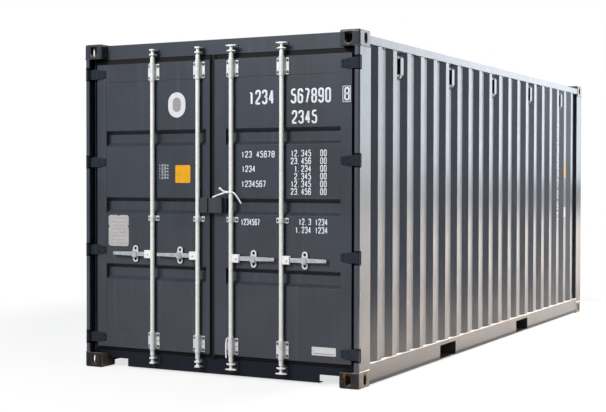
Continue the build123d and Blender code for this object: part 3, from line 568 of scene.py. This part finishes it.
digitStrokes = {
    "0": [[(0, 0), (1, 0), (1, 2), (0, 2), (0, 0)]],
    "1": [[(0.2, 1.6), (0.55, 2), (0.55, 0)]],
    "2": [[(0, 1.5), (0, 2), (1, 2), (1, 1.15), (0, 0.25), (0, 0), (1, 0)]],
    "3": [[(0, 1.6), (0, 2), (1, 2), (1, 1.05), (0.4, 1.05)],
          [(0.4, 1.05), (1, 1.05), (1, 0), (0, 0), (0, 0.4)]],
    "4": [[(0.72, 0), (0.72, 2)], [(0.72, 2), (0, 0.55)], [(0, 0.55), (1.05, 0.55)]],
    "5": [[(0.95, 2), (0.05, 2), (0.05, 1.2), (1, 1.2), (1, 0), (0, 0), (0, 0.4)]],
    "6": [[(1, 1.6), (1, 2), (0, 2), (0, 0), (1, 0), (1, 1.15), (0.16, 1.15)]],
    "7": [[(0, 2), (1, 2), (0.35, 0)]],
    "8": [[(0, 0), (1, 0), (1, 1.05), (0, 1.05), (0, 0)], [(0, 1.05), (1, 1.05), (1, 2), (0, 2), (0, 1.05)]],
    "9": [[(0, 0.4), (0, 0), (1, 0), (1, 2), (0, 2), (0, 0.85), (0.84, 0.85)]],
    ".": [[(0, 0), (0.2, 0)]],
    " ": [],
}
numberLook = {
    "cell": 0.70, "strokeShare": 0.145, "thickness": 0.0012, "sunk": 0.0002, "layer": 0.0003, "layers": 3,
    "round": 0.26, "cornerSteps": 5,
}


def strokeGroup():
    group, tree, given = startGroup("paintStrokes", {
        "Stroke width": 0.015, "Thickness": 0.0012, "Corner radius": 0.01, "Facing": (0.0, -1.0, 0.0),
    })
    line = tree.add("GeometryNodeMeshToCurve", {"Mesh": given.of("Geometry")})
    line = tree.add("GeometryNodeFilletCurve", {
        "Curve": line, "Count": numberLook["cornerSteps"], "Radius": given.of("Corner radius"),
        "Limit Radius": True}, mode="POLY")
    sockets = {"Curve": line, "Normal": given.of("Facing")}
    line = tree.add("GeometryNodeSetCurveNormal", sockets, mode="FREE")
    profile = tree.add("GeometryNodeCurvePrimitiveQuadrilateral", {
        "Width": given.of("Thickness"), "Height": given.of("Stroke width")})
    sockets = {"Curve": line, "Profile Curve": profile, "Fill Caps": True}
    endGroup(tree, tree.add("GeometryNodeCurveToMesh", sockets), given)
    return group


paintStrokes = strokeGroup()


def strokes(name, paths, width, thickness, corner, coat, body, slot=None, **more):
    values = {"Stroke width": width, "Thickness": thickness, "Corner radius": corner, **more}
    return growMesh(name, pathMesh(name, paths), paintStrokes, values, coat, body)


def numberPaths(text, left, low, height, pitch):  # strokes of one row, in the plane of the sheet
    stroke = height * numberLook["strokeShare"]
    wide = pitch * numberLook["cell"] - stroke / 2
    tall = height - stroke
    paths = []
    for index, sign in enumerate(text):
        start = left + index * pitch + stroke / 2
        for path in digitStrokes[sign]:
            paths.append([(start + wide * u, low + stroke / 2 + tall / 2 * v) for u, v in path])
    return paths


def paintNumbers(name, rows, height, onSheet, body, slot, **more):  # a row is its text, left, low, pitch
    paths = []
    for text, left, low, pitch in rows:
        paths += numberPaths(text, left, low, height, pitch)
    placed = []
    for index, path in enumerate(paths):
        lift = numberLook["layer"] * (index % numberLook["layers"])  # crossing strokes at different levels
        placed.append([onSheet(u, v, lift) for u, v in path])
    width = height * numberLook["strokeShare"]
    corner = height / 2 * numberLook["round"]
    return strokes(name, placed, width, numberLook["thickness"], corner, "mark", body, slot, **more)


def onDoor(face):  # places a point of a row on that face of a door
    def placed(x, z, lift):
        return (x, face + numberLook["sunk"] - numberLook["thickness"] / 2 - lift, z)
    return placed


largeNumbers = {"height": 0.112, "rows": [("1234", 0.274, 2.071, 0.0570), ("567890", 0.633, 2.071, 0.0570)]}
typeNumbers = {"height": 0.102, "rows": [("2345", 0.642, 1.921, 0.0550)]}
checkNumber = {"height": 0.098, "rows": [("8", 1.072, 2.081, 0.0560)]}
checkBox = {"edges": (1.062, 1.122, 2.074, 2.186), "line": 0.005, "corner": 0.004}  # left, right, low, high
weightNumbers = {
    "height": 0.050, "top": 1.730, "step": 0.0566, "left": 0.634, "unitLeft": 0.878, "pitch": 0.0290,
    "text": ("12.345", "23.456", " 1.234", " 2.345", "12.345", "23.456"), "unit": "00",
    "labels": [
        ("123 45678", 0.209, 1.675, 0.0327), ("1234", 0.214, 1.566, 0.0305),
        ("1234567", 0.210, 1.453, 0.0312),
    ],
    "volumes": [
        ("1234567", 0.206, 1.165, 0.0240), ("12.3", 0.700, 1.174, 0.0270), ("1.234", 0.672, 1.114, 0.0270),
        ("1234", 0.836, 1.174, 0.0270), ("1234", 0.836, 1.114, 0.0270),
    ],
}
smallNumbers = {
    "height": 0.016, "text": "1234", "count": 5, "left": -0.540, "top": 1.612, "step": 0.024, "pitch": 0.0245,
}


def weightRows():
    look = weightNumbers
    rows = []
    for index, text in enumerate(look["text"]):
        low = look["top"] - look["height"] - index * look["step"]
        rows.append((text, look["left"], low, look["pitch"]))
        rows.append((look["unit"], look["unitLeft"], low, look["pitch"]))
    return rows + look["labels"] + look["volumes"]


def smallRows():
    look = smallNumbers
    levels = [look["top"] - look["step"] * index for index in range(look["count"])]
    return [(look["text"], look["left"], low, look["pitch"]) for low in levels]


def doorNumbers(side, word, rows, height, face=panelFace):
    paintNumbers(f"{side}_door_{word}", rows, height, onDoor(face), f"{side}_door", "door_paint")


def checkFrame():  # a painted line round the check number
    left, right, low, high = checkBox["edges"]
    onLeaf = onDoor(leafFace)
    corners = ((left, low), (right, low), (right, high), (left, high), (left, low))
    path = [onLeaf(x, z, 0.0) for x, z in corners]
    strokes("right_door_check_frame", [path], checkBox["line"], numberLook["thickness"], checkBox["corner"],
            "mark", "right_door", "door_paint")


waveLook = {
    "firstCrest": -2.700, "pitch": 0.278, "crests": 20, "crestWidth": 0.072, "slope": 0.068, "depth": 0.034,
}
sideMark = {
    "text": "12345678901", "crest": 17, "top": 2.150, "step": 0.119, "height": 0.088, "inset": 0.012,
    "pitch": 0.060,
}


def crestStart(index):  # near edge of an outer flat
    return waveLook["firstCrest"] + index * waveLook["pitch"]


def sideNumbers(side):  # one digit under another down an outer flat
    sign = sides[side]
    start = crestStart(sideMark["crest"]) + sideMark["inset"]
    skin = sign * (wallFace - numberLook["sunk"] + numberLook["thickness"] / 2)
    middle = start - sideMark["inset"] + waveLook["crestWidth"] / 2

    def onWall(u, v, lift):
        return (skin + sign * lift, middle + sign * (u - middle), v)

    rows = []
    for index, digit in enumerate(sideMark["text"]):
        rows.append((digit, start, sideMark["top"] - index * sideMark["step"], sideMark["pitch"]))
    paintNumbers(f"{side}_wall_numbers", rows, sideMark["height"], onWall, "container", "wall_paint",
                 Facing=(sign, 0.0, 0.0))


doorNumbers("right", "large_numbers", largeNumbers["rows"], largeNumbers["height"])
doorNumbers("right", "type_numbers", typeNumbers["rows"], typeNumbers["height"])
doorNumbers("right", "check_number", checkNumber["rows"], checkNumber["height"], leafFace)
checkFrame()
doorNumbers("right", "weight_numbers", weightRows(), weightNumbers["height"])
doorNumbers("left", "small_numbers", smallRows(), smallNumbers["height"])
for side in sides:
    sideNumbers(side)
print("numbers done")


# Stickers and the data plate: thin cut sheets on the doors and walls

def roundedCard(left, right, low, high, radius, steps=6):
    corners = ((right, high, 0), (left, high, 90), (left, low, 180), (right, low, 270))
    points = []
    for x, z, turn in corners:
        centreX = x - radius if x == right else x + radius
        centreZ = z - radius if z == high else z + radius
        for step in range(steps + 1):
            angle = math.radians(turn + 90 * step / steps)
            points.append((centreX + radius * math.cos(angle), centreZ + radius * math.sin(angle)))
    return points


def turnOutward(mesh):
    work = bmesh.new()
    work.from_mesh(mesh)
    bmesh.ops.recalc_face_normals(work, faces=work.faces)
    work.to_mesh(mesh)
    work.free()


def thinSheet(name, outline, back, thickness, coat, body, onSide=0):  # onSide is 1 or -1 on a wall
    count = len(outline)
    front = back + onSide * thickness if onSide else back - thickness
    points = []
    for depth in (back, front):
        for u, v in outline:
            points.append((depth, u, v) if onSide else (u, depth, v))
    faces = [tuple(range(count)), tuple(range(2 * count - 1, count - 1, -1))]
    for index in range(count):
        after = (index + 1) % count
        faces.append((index, index + count, after + count, after))
    mesh = plainMesh(name, points, (), faces)
    piece = newObject(name, mesh)
    turnOutward(mesh)
    mesh.materials.append(finish[coat])
    return rideOn(piece, body)


cardLook = {"thickness": 0.0010, "lift": 0.0001, "face": {"left": panelFace, "right": leafFace}}
doorCards = {  # left, right, low and high edge of each, its corner and its coat
    ("left", "pale_sticker"): ((-0.452, -0.293, 1.992, 2.188), 0.079, "sticker"),
    ("left", "grey_inset"): ((-0.410, -0.335, 2.036, 2.146), 0.034, "inset"),
    ("left", "yellow_sticker"): ((-0.386, -0.248, 1.484, 1.622), 0.012, "yellow"),
    ("right", "blank_sticker"): ((0.812, 1.009, 0.220, 0.282), 0.006, "sticker"),
    ("right", "sticker_line"): ((0.826, 0.995, 0.230, 0.236), 0.002, "inset"),
}
wallCards = {"yellow": ((1.542, 1.696), 0.006, "yellow"), "pale": ((1.107, 1.221), 0.010, "sticker")}
wallCardPlace = {"crest": 18, "inset": 0.004}


def doorStickers():
    thick = cardLook["thickness"]
    for (side, word), (edges, corner, coat) in doorCards.items():
        back = cardLook["face"][side] - cardLook["lift"]
        card = roundedCard(*edges, corner)
        if coat == "inset":  # lies on the sticker before it
            thinSheet(f"{side}_door_{word}", card, back - thick, thick / 2, coat, f"{side}_door")
        else:
            thinSheet(f"{side}_door_{word}", card, back, thick, coat, f"{side}_door")


def wallStickers(side):
    sign = sides[side]
    near = crestStart(wallCardPlace["crest"]) + wallCardPlace["inset"]
    far = near + waveLook["crestWidth"] - 2 * wallCardPlace["inset"]
    skin = sign * (wallFace + cardLook["lift"])
    thick = cardLook["thickness"]
    for word, (heights, corner, coat) in wallCards.items():
        card = roundedCard(near, far, *heights, corner)
        thinSheet(f"{side}_wall_{word}_sticker", card, skin, thick, coat, "container", sign)


plateLook = {
    "edges": (-1.024, -0.828, 0.978, 1.226), "thickness": 0.0020,
    "chamfer": 0.014, "notch": 0.011, "notchHeight": 1.136,
    "ruleCount": 8, "ruleInset": 0.024, "ruleWidth": 0.0035, "ruleThickness": 0.0006,
}
plateRivet = {"inset": 0.016, "head": (0.007, 0.003), "washer": (0.008, 0.0006), "sides": 10}


def dataPlate():
    left, right, low, high = plateLook["edges"]
    cut = plateLook["chamfer"]
    notch = plateLook["notch"]
    level = plateLook["notchHeight"]
    middle = (left + right) / 2
    wide = right - middle
    half = [
        (0.0, high - notch), (notch, high), (wide - cut, high), (wide, high - cut), (wide, level + notch),
        (wide - notch, level), (wide, level - notch), (wide, low + cut), (wide - cut, low),
    ]
    outline = [(middle + x, z) for x, z in half] + [(middle - x, z) for x, z in reversed(half[1:])]
    back = panelFace - cardLook["lift"]
    thick = plateLook["thickness"]
    thinSheet("left_door_plate", outline, back, thick, "plate", "left_door")
    front = back - thick
    inset = plateRivet["inset"]
    rivets = [(x, front, z) for x in (left + inset, right - inset) for z in (low + inset, high - inset)]
    bolts("left_door_plate_rivets", rivets, plateRivet, "left_door", "plate")
    edge = plateLook["ruleInset"]
    step = (high - low - 2 * edge) / (plateLook["ruleCount"] - 1)
    rules = []
    for index in range(plateLook["ruleCount"]):
        z = low + edge + index * step
        rules.append([(left + edge, front, z), (right - edge, front, z)])
    strokes("left_door_plate_rules", rules, plateLook["ruleWidth"], plateLook["ruleThickness"], 0.0, "inset",
            "left_door")


doorStickers()
for side in sides:
    wallStickers(side)
dataPlate()
print("stickers and plate done")


# White plastic strip tied round the inner rod of the right door, and a loose one at its foot

stripLook = {
    "width": 0.011, "thickness": 0.0022, "height": 1.413, "ringRadius": 0.0195, "ringSteps": 16,
    "bend": 0.030,
    "tails": [
        [(-0.018, -0.0210, 0.003), (-0.060, -0.0170, -0.006), (-0.110, -0.0100, -0.020),
         (-0.160, -0.0085, -0.038)],
        [(-0.020, -0.0190, 0.002), (-0.060, -0.0210, 0.010), (-0.088, -0.0180, 0.034),
         (-0.104, -0.0080, 0.030), (-0.100, 0.0020, 0.016)],  # curls up
        [(0.014, -0.0205, 0.004), (0.040, -0.0190, -0.006), (0.070, -0.0130, -0.044),
         (0.092, -0.0060, -0.084)],
        [(-0.045, 0.0120, -1.115), (-0.050, 0.0080, -1.160), (-0.048, 0.0050, -1.215),
         (-0.046, 0.0060, -1.262)],  # at the foot
    ],
    "knot": [(-0.012, -0.0215, 0.002), (-0.034, -0.0200, 0.001)], "knotWidth": 0.017, "knotThickness": 0.006,
}


def sealStrip():
    centre = rodLine["right", "inner"]
    base = Vector((centre.x, centre.y, stripLook["height"]))
    reach = stripLook["ringRadius"]
    ring = []
    for step in range(stripLook["ringSteps"] + 1):
        angle = 2 * math.pi * (step % stripLook["ringSteps"]) / stripLook["ringSteps"]
        ring.append((base.x + reach * math.cos(angle), base.y + reach * math.sin(angle), base.z))
    wide = stripLook["width"]
    thick = stripLook["thickness"]
    bend = stripLook["bend"]
    tails = [[tuple(base + Vector(step)) for step in tail] for tail in stripLook["tails"]]
    strokes("right_door_tie_tails", tails, wide, thick, bend, "strip", "right_door")
    knot = [[tuple(base + Vector(step)) for step in stripLook["knot"]]]
    strokes("right_door_tie_knot", knot, stripLook["knotWidth"], stripLook["knotThickness"], bend, "strip",
            "right_door")
    strokes("right_door_tie_ring", [ring], thick, wide, 0.0, "strip", "right_door", Facing=(0.0, 0.0, 1.0))


sealStrip()
print("tie strip done")


# Weld beads along the seams

weldLook = {"doorWidth": 0.004, "frameWidth": 0.0075, "roofEnd": 0.15, "facets": 6}
grooveLook = {"centres": (0.775, 1.305, 1.835), "flatHalf": 0.033, "half": 0.063, "depth": 0.036}


def weldGroup():
    group, tree, given = startGroup("weldBeads", {
        "Bead width": 0.007, "Step": 0.016, "Ripple": 0.001, "Ripple scale": 90.0,
    })
    line = tree.add("GeometryNodeMeshToCurve", {"Mesh": given.of("Geometry")})
    sockets = {"Curve": line, "Length": given.of("Step")}
    line = tree.add("GeometryNodeResampleCurve", sockets, mode="LENGTH")
    profile = tree.add("GeometryNodeCurvePrimitiveCircle", {
        "Resolution": weldLook["facets"], "Radius": given.of("Bead width") / 2})
    sockets = {"Curve": line, "Profile Curve": profile, "Fill Caps": True}
    bead = tree.add("GeometryNodeCurveToMesh", sockets)
    place = tree.add("GeometryNodeInputPosition")
    lump = noise(tree, place, given.of("Ripple scale"), 1.0, 0.5)
    amount = (lump - 0.5) * given.of("Ripple")
    normal = tree.add("GeometryNodeInputNormal")
    offset = tree.add("ShaderNodeVectorMath", {0: normal, "Scale": amount}, operation="SCALE")
    bead = tree.add("GeometryNodeSetPosition", {"Geometry": bead, "Offset": offset})
    bead = tree.add("GeometryNodeSetShadeSmooth", {"Geometry": bead, "Shade Smooth": True})
    endGroup(tree, bead, given)
    return group


weldBeads = weldGroup()


def weld(name, paths, width, body, coat):
    return growMesh(name, pathMesh(name, paths), weldBeads, {"Bead width": width}, coat, body)


def panelSeams(side):  # up both edges of the pressed sheet, down into each groove
    low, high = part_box(f"{side}_door_panel")
    bed = panelFace + grooveLook["depth"]
    profile = [(panelFace, low.z)]
    for centre in grooveLook["centres"]:
        profile += [(panelFace, centre - grooveLook["half"]), (bed, centre - grooveLook["flatHalf"]),
                    (bed, centre + grooveLook["flatHalf"]), (panelFace, centre + grooveLook["half"])]
    profile.append((panelFace, high.z))
    return [[(x, y, z) for y, z in profile] for x in (low.x, high.x)]


def wallSeams(sign):  # along the head of a corrugated wall
    low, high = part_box("side_wall_right")
    inner = high.x - waveLook["depth"]
    line = [(inner, low.y)]
    for index in range(waveLook["crests"]):
        near = crestStart(index)
        far = near + waveLook["crestWidth"]
        line += [(inner, near - waveLook["slope"]), (high.x, near), (high.x, far),
                 (inner, far + waveLook["slope"])]
    line.append((inner, high.y))
    return [[(sign * x, y, high.z) for x, y in line]]


def postSeams(sign):  # where each post meets its castings
    paths = []
    for name, frontFace in (("rear_post_right", False), ("front_post_right", True)):
        low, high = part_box(name)
        endFace = high.y if frontFace else low.y
        wallSide = low.y if frontFace else high.y
        corners = ((low.x, endFace), (high.x, endFace), (high.x, wallSide))
        for z in (low.z, high.z):
            paths.append([(sign * x, y, z) for x, y in corners])
    return paths


def roofSeams():
    low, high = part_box("roof")
    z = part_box("top_side_rail_right")[1].z
    return [[(x, low.y, z), (x, high.y - weldLook["roofEnd"], z)] for x in (low.x, high.x)]


frameSeams = roofSeams()
for side, sign in sides.items():
    frameSeams += wallSeams(sign) + postSeams(sign)
    weld(f"{side}_door_welds", panelSeams(side), weldLook["doorWidth"], f"{side}_door", "door")
weld("frame_welds", frameSeams, weldLook["frameWidth"], "container", "frame")
print("welds done")


# On the long sides: painted highlights on the ledges, the strap edge under each fork mouth, painted shade in
# the vent hoods

castLook = {"rise": 0.0035, "inset": 0.0016, "endGap": 0.012}
railLook = {"drop": 0.0010, "inset": 0.002, "width": 0.010, "endGap": 0.002, "paintedLightFilm": 0.0008}
mouthLook = {
    "centres": {"rear": -1.235, "front": 0.815}, "half": 0.180, "heights": (0.0128, 0.0196),
    "thickness": 0.0008, "corner": 0.001,
}
ventLook = {"insetY": 0.002, "insetZ": 0.046, "depth": 0.022, "count": 5, "half": 0.028, "corner": 0.002}
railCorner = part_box("bottom_side_rail_right")[1]  # outer edge of the ledge, at its front end
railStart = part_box("side_wall_right")[0].y + railLook["endGap"]
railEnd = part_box("side_wall_right")[1].y - railLook["endGap"]


def castingLedges(sign):  # the step between each lower casting and its post
    paths = []
    for name in ("rear_post_right", "front_post_right"):
        low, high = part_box(name)
        x = sign * (high.x - castLook["inset"])
        z = low.z + castLook["rise"]
        paths.append([(x, low.y + castLook["endGap"], z), (x, high.y - castLook["endGap"], z)])
    return paths


# painted highlight: a pale sheet on top of each rail's ledge
def ledgeHighlight(side):
    sign = sides[side]
    top = railCorner.z + railLook["paintedLightFilm"]
    paintedLightFilm = [(railStart, railCorner.z), (railEnd, railCorner.z), (railEnd, top), (railStart, top)]
    inner = sign * (railCorner.x - waveLook["depth"])
    thinSheet(f"{side}_ledge_highlight", paintedLightFilm, inner, waveLook["depth"], "ledge", "container", sign)


def mouthStraps(side):
    face = sides[side] * railCorner.x
    half = mouthLook["half"]
    for word, centre in mouthLook["centres"].items():
        card = roundedCard(centre - half, centre + half, *mouthLook["heights"], mouthLook["corner"])
        thinSheet(f"{side}_{word}_mouth_strap", card, face, mouthLook["thickness"], "frame", "container",
                  sides[side])


def ledgeBeads():  # painted highlight: a pale line along each rail and over its castings
    height = railCorner.z - railLook["drop"]
    beads = []
    for sign in sides.values():
        x = sign * (railCorner.x - railLook["inset"])
        beads.append([(x, railStart, height), (x, railEnd, height)])
        beads += castingLedges(sign)
    weld("rail_ledges", beads, railLook["width"], "container", "ledge")


# painted shade: a black sheet set back inside each vent hood, where the hood is in shade
def ventShades(side):
    sign = sides[side]
    low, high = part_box("side_vents")
    half = ventLook["half"]
    step = (high.y - low.y - 2 * half) / (ventLook["count"] - 1)
    heights = (low.z + ventLook["insetZ"], high.z - ventLook["insetZ"])
    back = sign * (wallFace - waveLook["depth"])
    for index in range(ventLook["count"]):
        middle = low.y + half + index * step
        near = middle - half + ventLook["insetY"]
        far = middle + half - ventLook["insetY"]
        card = roundedCard(near, far, *heights, ventLook["corner"])
        thinSheet(f"{side}_vent_shade_{index + 1}", card, back, ventLook["depth"], "black", "container",
                  sign)


for side in sides:
    ledgeHighlight(side)
    mouthStraps(side)
ledgeBeads()
for side in sides:
    ventShades(side)
print("side trim done")


# Plywood floor in boards, with its screws

boardLook = {"across": 2, "along": 5, "gap": 0.004, "seed": 7}
floorScrew = {
    "rows": 16, "across": 10, "inset": 0.05, "head": (0.012, 0.0012), "washer": (0.014, 0.0006), "sides": 8,
}


def boardGroup():
    group, tree, given = startGroup("floorBoards", {"Board size": (1.0, 1.0, 0.03), "Seed": 0})
    board = tree.add("GeometryNodeMeshCube", {"Size": given.of("Board size")})
    sockets = {"Points": given.of("Geometry"), "Instance": board}
    spread = tree.add("GeometryNodeInstanceOnPoints", sockets)
    shade = tree.add("FunctionNodeRandomValue", {"Seed": given.of("Seed")}, 1)
    sockets = {"Geometry": spread, "Name": "tint", "Value": shade}
    spread = tree.add("GeometryNodeStoreNamedAttribute", sockets, domain="INSTANCE")
    endGroup(tree, spread, given)
    return group


def floorBoards():
    low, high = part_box("floor")
    stepX = (high.x - low.x) / boardLook["across"]
    stepY = (high.y - low.y) / boardLook["along"]
    middle = (low.z + high.z) / 2
    points = []
    for column in range(boardLook["across"]):
        for row in range(boardLook["along"]):
            points.append((low.x + (column + 0.5) * stepX, low.y + (row + 0.5) * stepY, middle))
    size = (stepX - boardLook["gap"], stepY - boardLook["gap"], high.z - low.z)
    values = {"Board size": size, "Seed": boardLook["seed"]}
    seedMesh = plainMesh("floorBoards", points)
    piece = growMesh("floor_boards", seedMesh, boardGroup(), values, "plywood", "container")
    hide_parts("floor")


def floorScrews():
    low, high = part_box("floor")
    inset = floorScrew["inset"]
    stepX = (high.x - low.x - 2 * inset) / (floorScrew["across"] - 1)
    stepY = (high.y - low.y - 2 * inset) / (floorScrew["rows"] - 1)
    points = []
    for row in range(floorScrew["rows"]):
        for column in range(floorScrew["across"]):
            points.append((low.x + inset + column * stepX, low.y + inset + row * stepY, high.z))
    bolts("floor_screws", points, floorScrew, "container", "bolt", turn=upward)


floorBoards()
floorScrews()
print("floor done")


# Floor, light and camera

floorLook = {
    "half": 90.0, "near": (244, 240, 234), "bounce": (74, 69, 63), "glow": 0.72,
    "fadeFrom": 3.3, "fadeTo": 5.4,
}
skyLook = {"seen": (255, 255, 255), "light": (222, 232, 248), "strength": 0.50}
lampLooks = {
    "keyLamp": {"place": (-2.8, -12.2, 8.0), "aim": (-0.2, -3.0, 2.2), "size": (4.0, 4.0),
                "power": 1560.0, "colour": (248, 251, 255), "spread": 180.0},
    "skyPanel": {"place": (5.47, 5.5, 3.8), "aim": (5.47, 0.0, 3.8), "size": (7.26, 4.6),
                 "power": 510.0, "colour": (236, 245, 255), "spread": 180.0},
    "groundPanel": {"place": (5.47, 5.5, 0.57), "aim": (5.47, 0.0, 0.57), "size": (7.26, 1.06),
                    "power": 116.0, "colour": (255, 243, 232), "spread": 180.0},
    "floorLamp": {"place": (2.5, -0.25, 7.0), "aim": (2.5, -0.25, 0.0), "size": (2.0, 8.7),
                  "power": 312.0, "colour": (255, 240, 226), "spread": 16.0},
}


def rayKind(tree, kind):
    return tree.add("ShaderNodeLightPath", out=f"Is {kind} Ray")


def seenDirectly(tree, camera):  # 1 for what the camera, a reflection or glass looks at
    return (camera + rayKind(tree, "Glossy") + rayKind(tree, "Transmission")).atMost(1.0)


def studioFloor():
    half = floorLook["half"]
    corners = [(-half, -half, 0.0), (half, -half, 0.0), (half, half, 0.0), (-half, half, 0.0)]
    ground = newObject("studioFloor", plainMesh("studioFloor", corners, (), [(0, 1, 2, 3)]))
    material, tree, place = startFinish("studioFloor")
    reach = tree.add("ShaderNodeVectorMath", {0: place}, "Value", operation="LENGTH")
    away = rise(tree, reach, floorLook["fadeFrom"], floorLook["fadeTo"])
    camera = rayKind(tree, "Camera")
    colour = blendColour(tree, seenDirectly(tree, camera), floorLook["bounce"], floorLook["near"])
    lit = tree.add("ShaderNodeBsdfDiffuse", {"Color": colour})
    white = tree.add("ShaderNodeEmission", {"Color": skyLook["seen"], "Strength": 1.0})
    share = camera * (floorLook["glow"] + (1 - floorLook["glow"]) * away)
    both = tree.add("ShaderNodeMixShader", {0: share, 1: lit, 2: white})
    tree.add("ShaderNodeOutputMaterial", {"Surface": both})
    ground.data.materials.append(material)


def sky():
    world = bpy.data.worlds.new("studioSky")
    world.use_nodes = True
    world.node_tree.nodes.clear()
    tree = Tree(world.node_tree)
    direct = seenDirectly(tree, rayKind(tree, "Camera"))
    seen = tree.add("ShaderNodeBackground", {"Color": skyLook["seen"], "Strength": 1.0})
    light = tree.add("ShaderNodeBackground", {"Color": skyLook["light"], "Strength": skyLook["strength"]})
    both = tree.add("ShaderNodeMixShader", {0: direct, 1: light, 2: seen})
    tree.add("ShaderNodeOutputWorld", {"Surface": both})
    bpy.context.scene.world = world


def softLamp(name, look):
    lamp = bpy.data.lights.new(name, "AREA")
    lamp.shape = "RECTANGLE"
    lamp.size, lamp.size_y = look["size"]
    lamp.energy = look["power"]
    lamp.color = screen(*look["colour"])[:3]
    lamp.spread = math.radians(look["spread"])
    holder = newObject(name, lamp)
    holder.location = look["place"]
    away = Vector(look["place"]) - Vector(look["aim"])
    holder.rotation_euler = away.to_track_quat("Z", "Y").to_euler()


cameraLook = {
    "place": (4.921, -10.982, 1.497), "yaw": 27.34, "pitch": -1.17, "roll": 0.11, "focalPixels": 1225.5,
    "centrePixel": (308.5, 206.5), "frame": (606.0, 412.0), "sensor": 36.0, "farthest": 400.0,
}


def photoCamera():
    yaw, pitch, roll = (math.radians(cameraLook[word]) for word in ("yaw", "pitch", "roll"))
    ahead = Vector((-math.sin(yaw) * math.cos(pitch), math.cos(yaw) * math.cos(pitch), math.sin(pitch)))
    level = Vector((math.cos(yaw), math.sin(yaw), 0.0))
    above = level.cross(ahead)
    right = level * math.cos(roll) + above * math.sin(roll)
    up = above * math.cos(roll) - level * math.sin(roll)
    wide, tall = cameraLook["frame"]
    lens = bpy.data.cameras.new("photoCamera")
    lens.sensor_width = cameraLook["sensor"]
    lens.sensor_fit = "HORIZONTAL"
    lens.lens = cameraLook["focalPixels"] / wide * cameraLook["sensor"]
    lens.shift_x = (wide / 2 - cameraLook["centrePixel"][0]) / wide
    lens.shift_y = (cameraLook["centrePixel"][1] - tall / 2) / wide
    lens.clip_end = cameraLook["farthest"]
    holder = newObject("photoCamera", lens)
    turn = Matrix((right, up, -ahead)).transposed().to_4x4()
    holder.matrix_world = Matrix.Translation(cameraLook["place"]) @ turn
    bpy.context.scene.camera = holder


bpy.context.scene.view_settings.view_transform = "Standard"
studioFloor()
sky()
for lampName, lampLook in lampLooks.items():
    softLamp(lampName, lampLook)
photoCamera()
print("stage done")
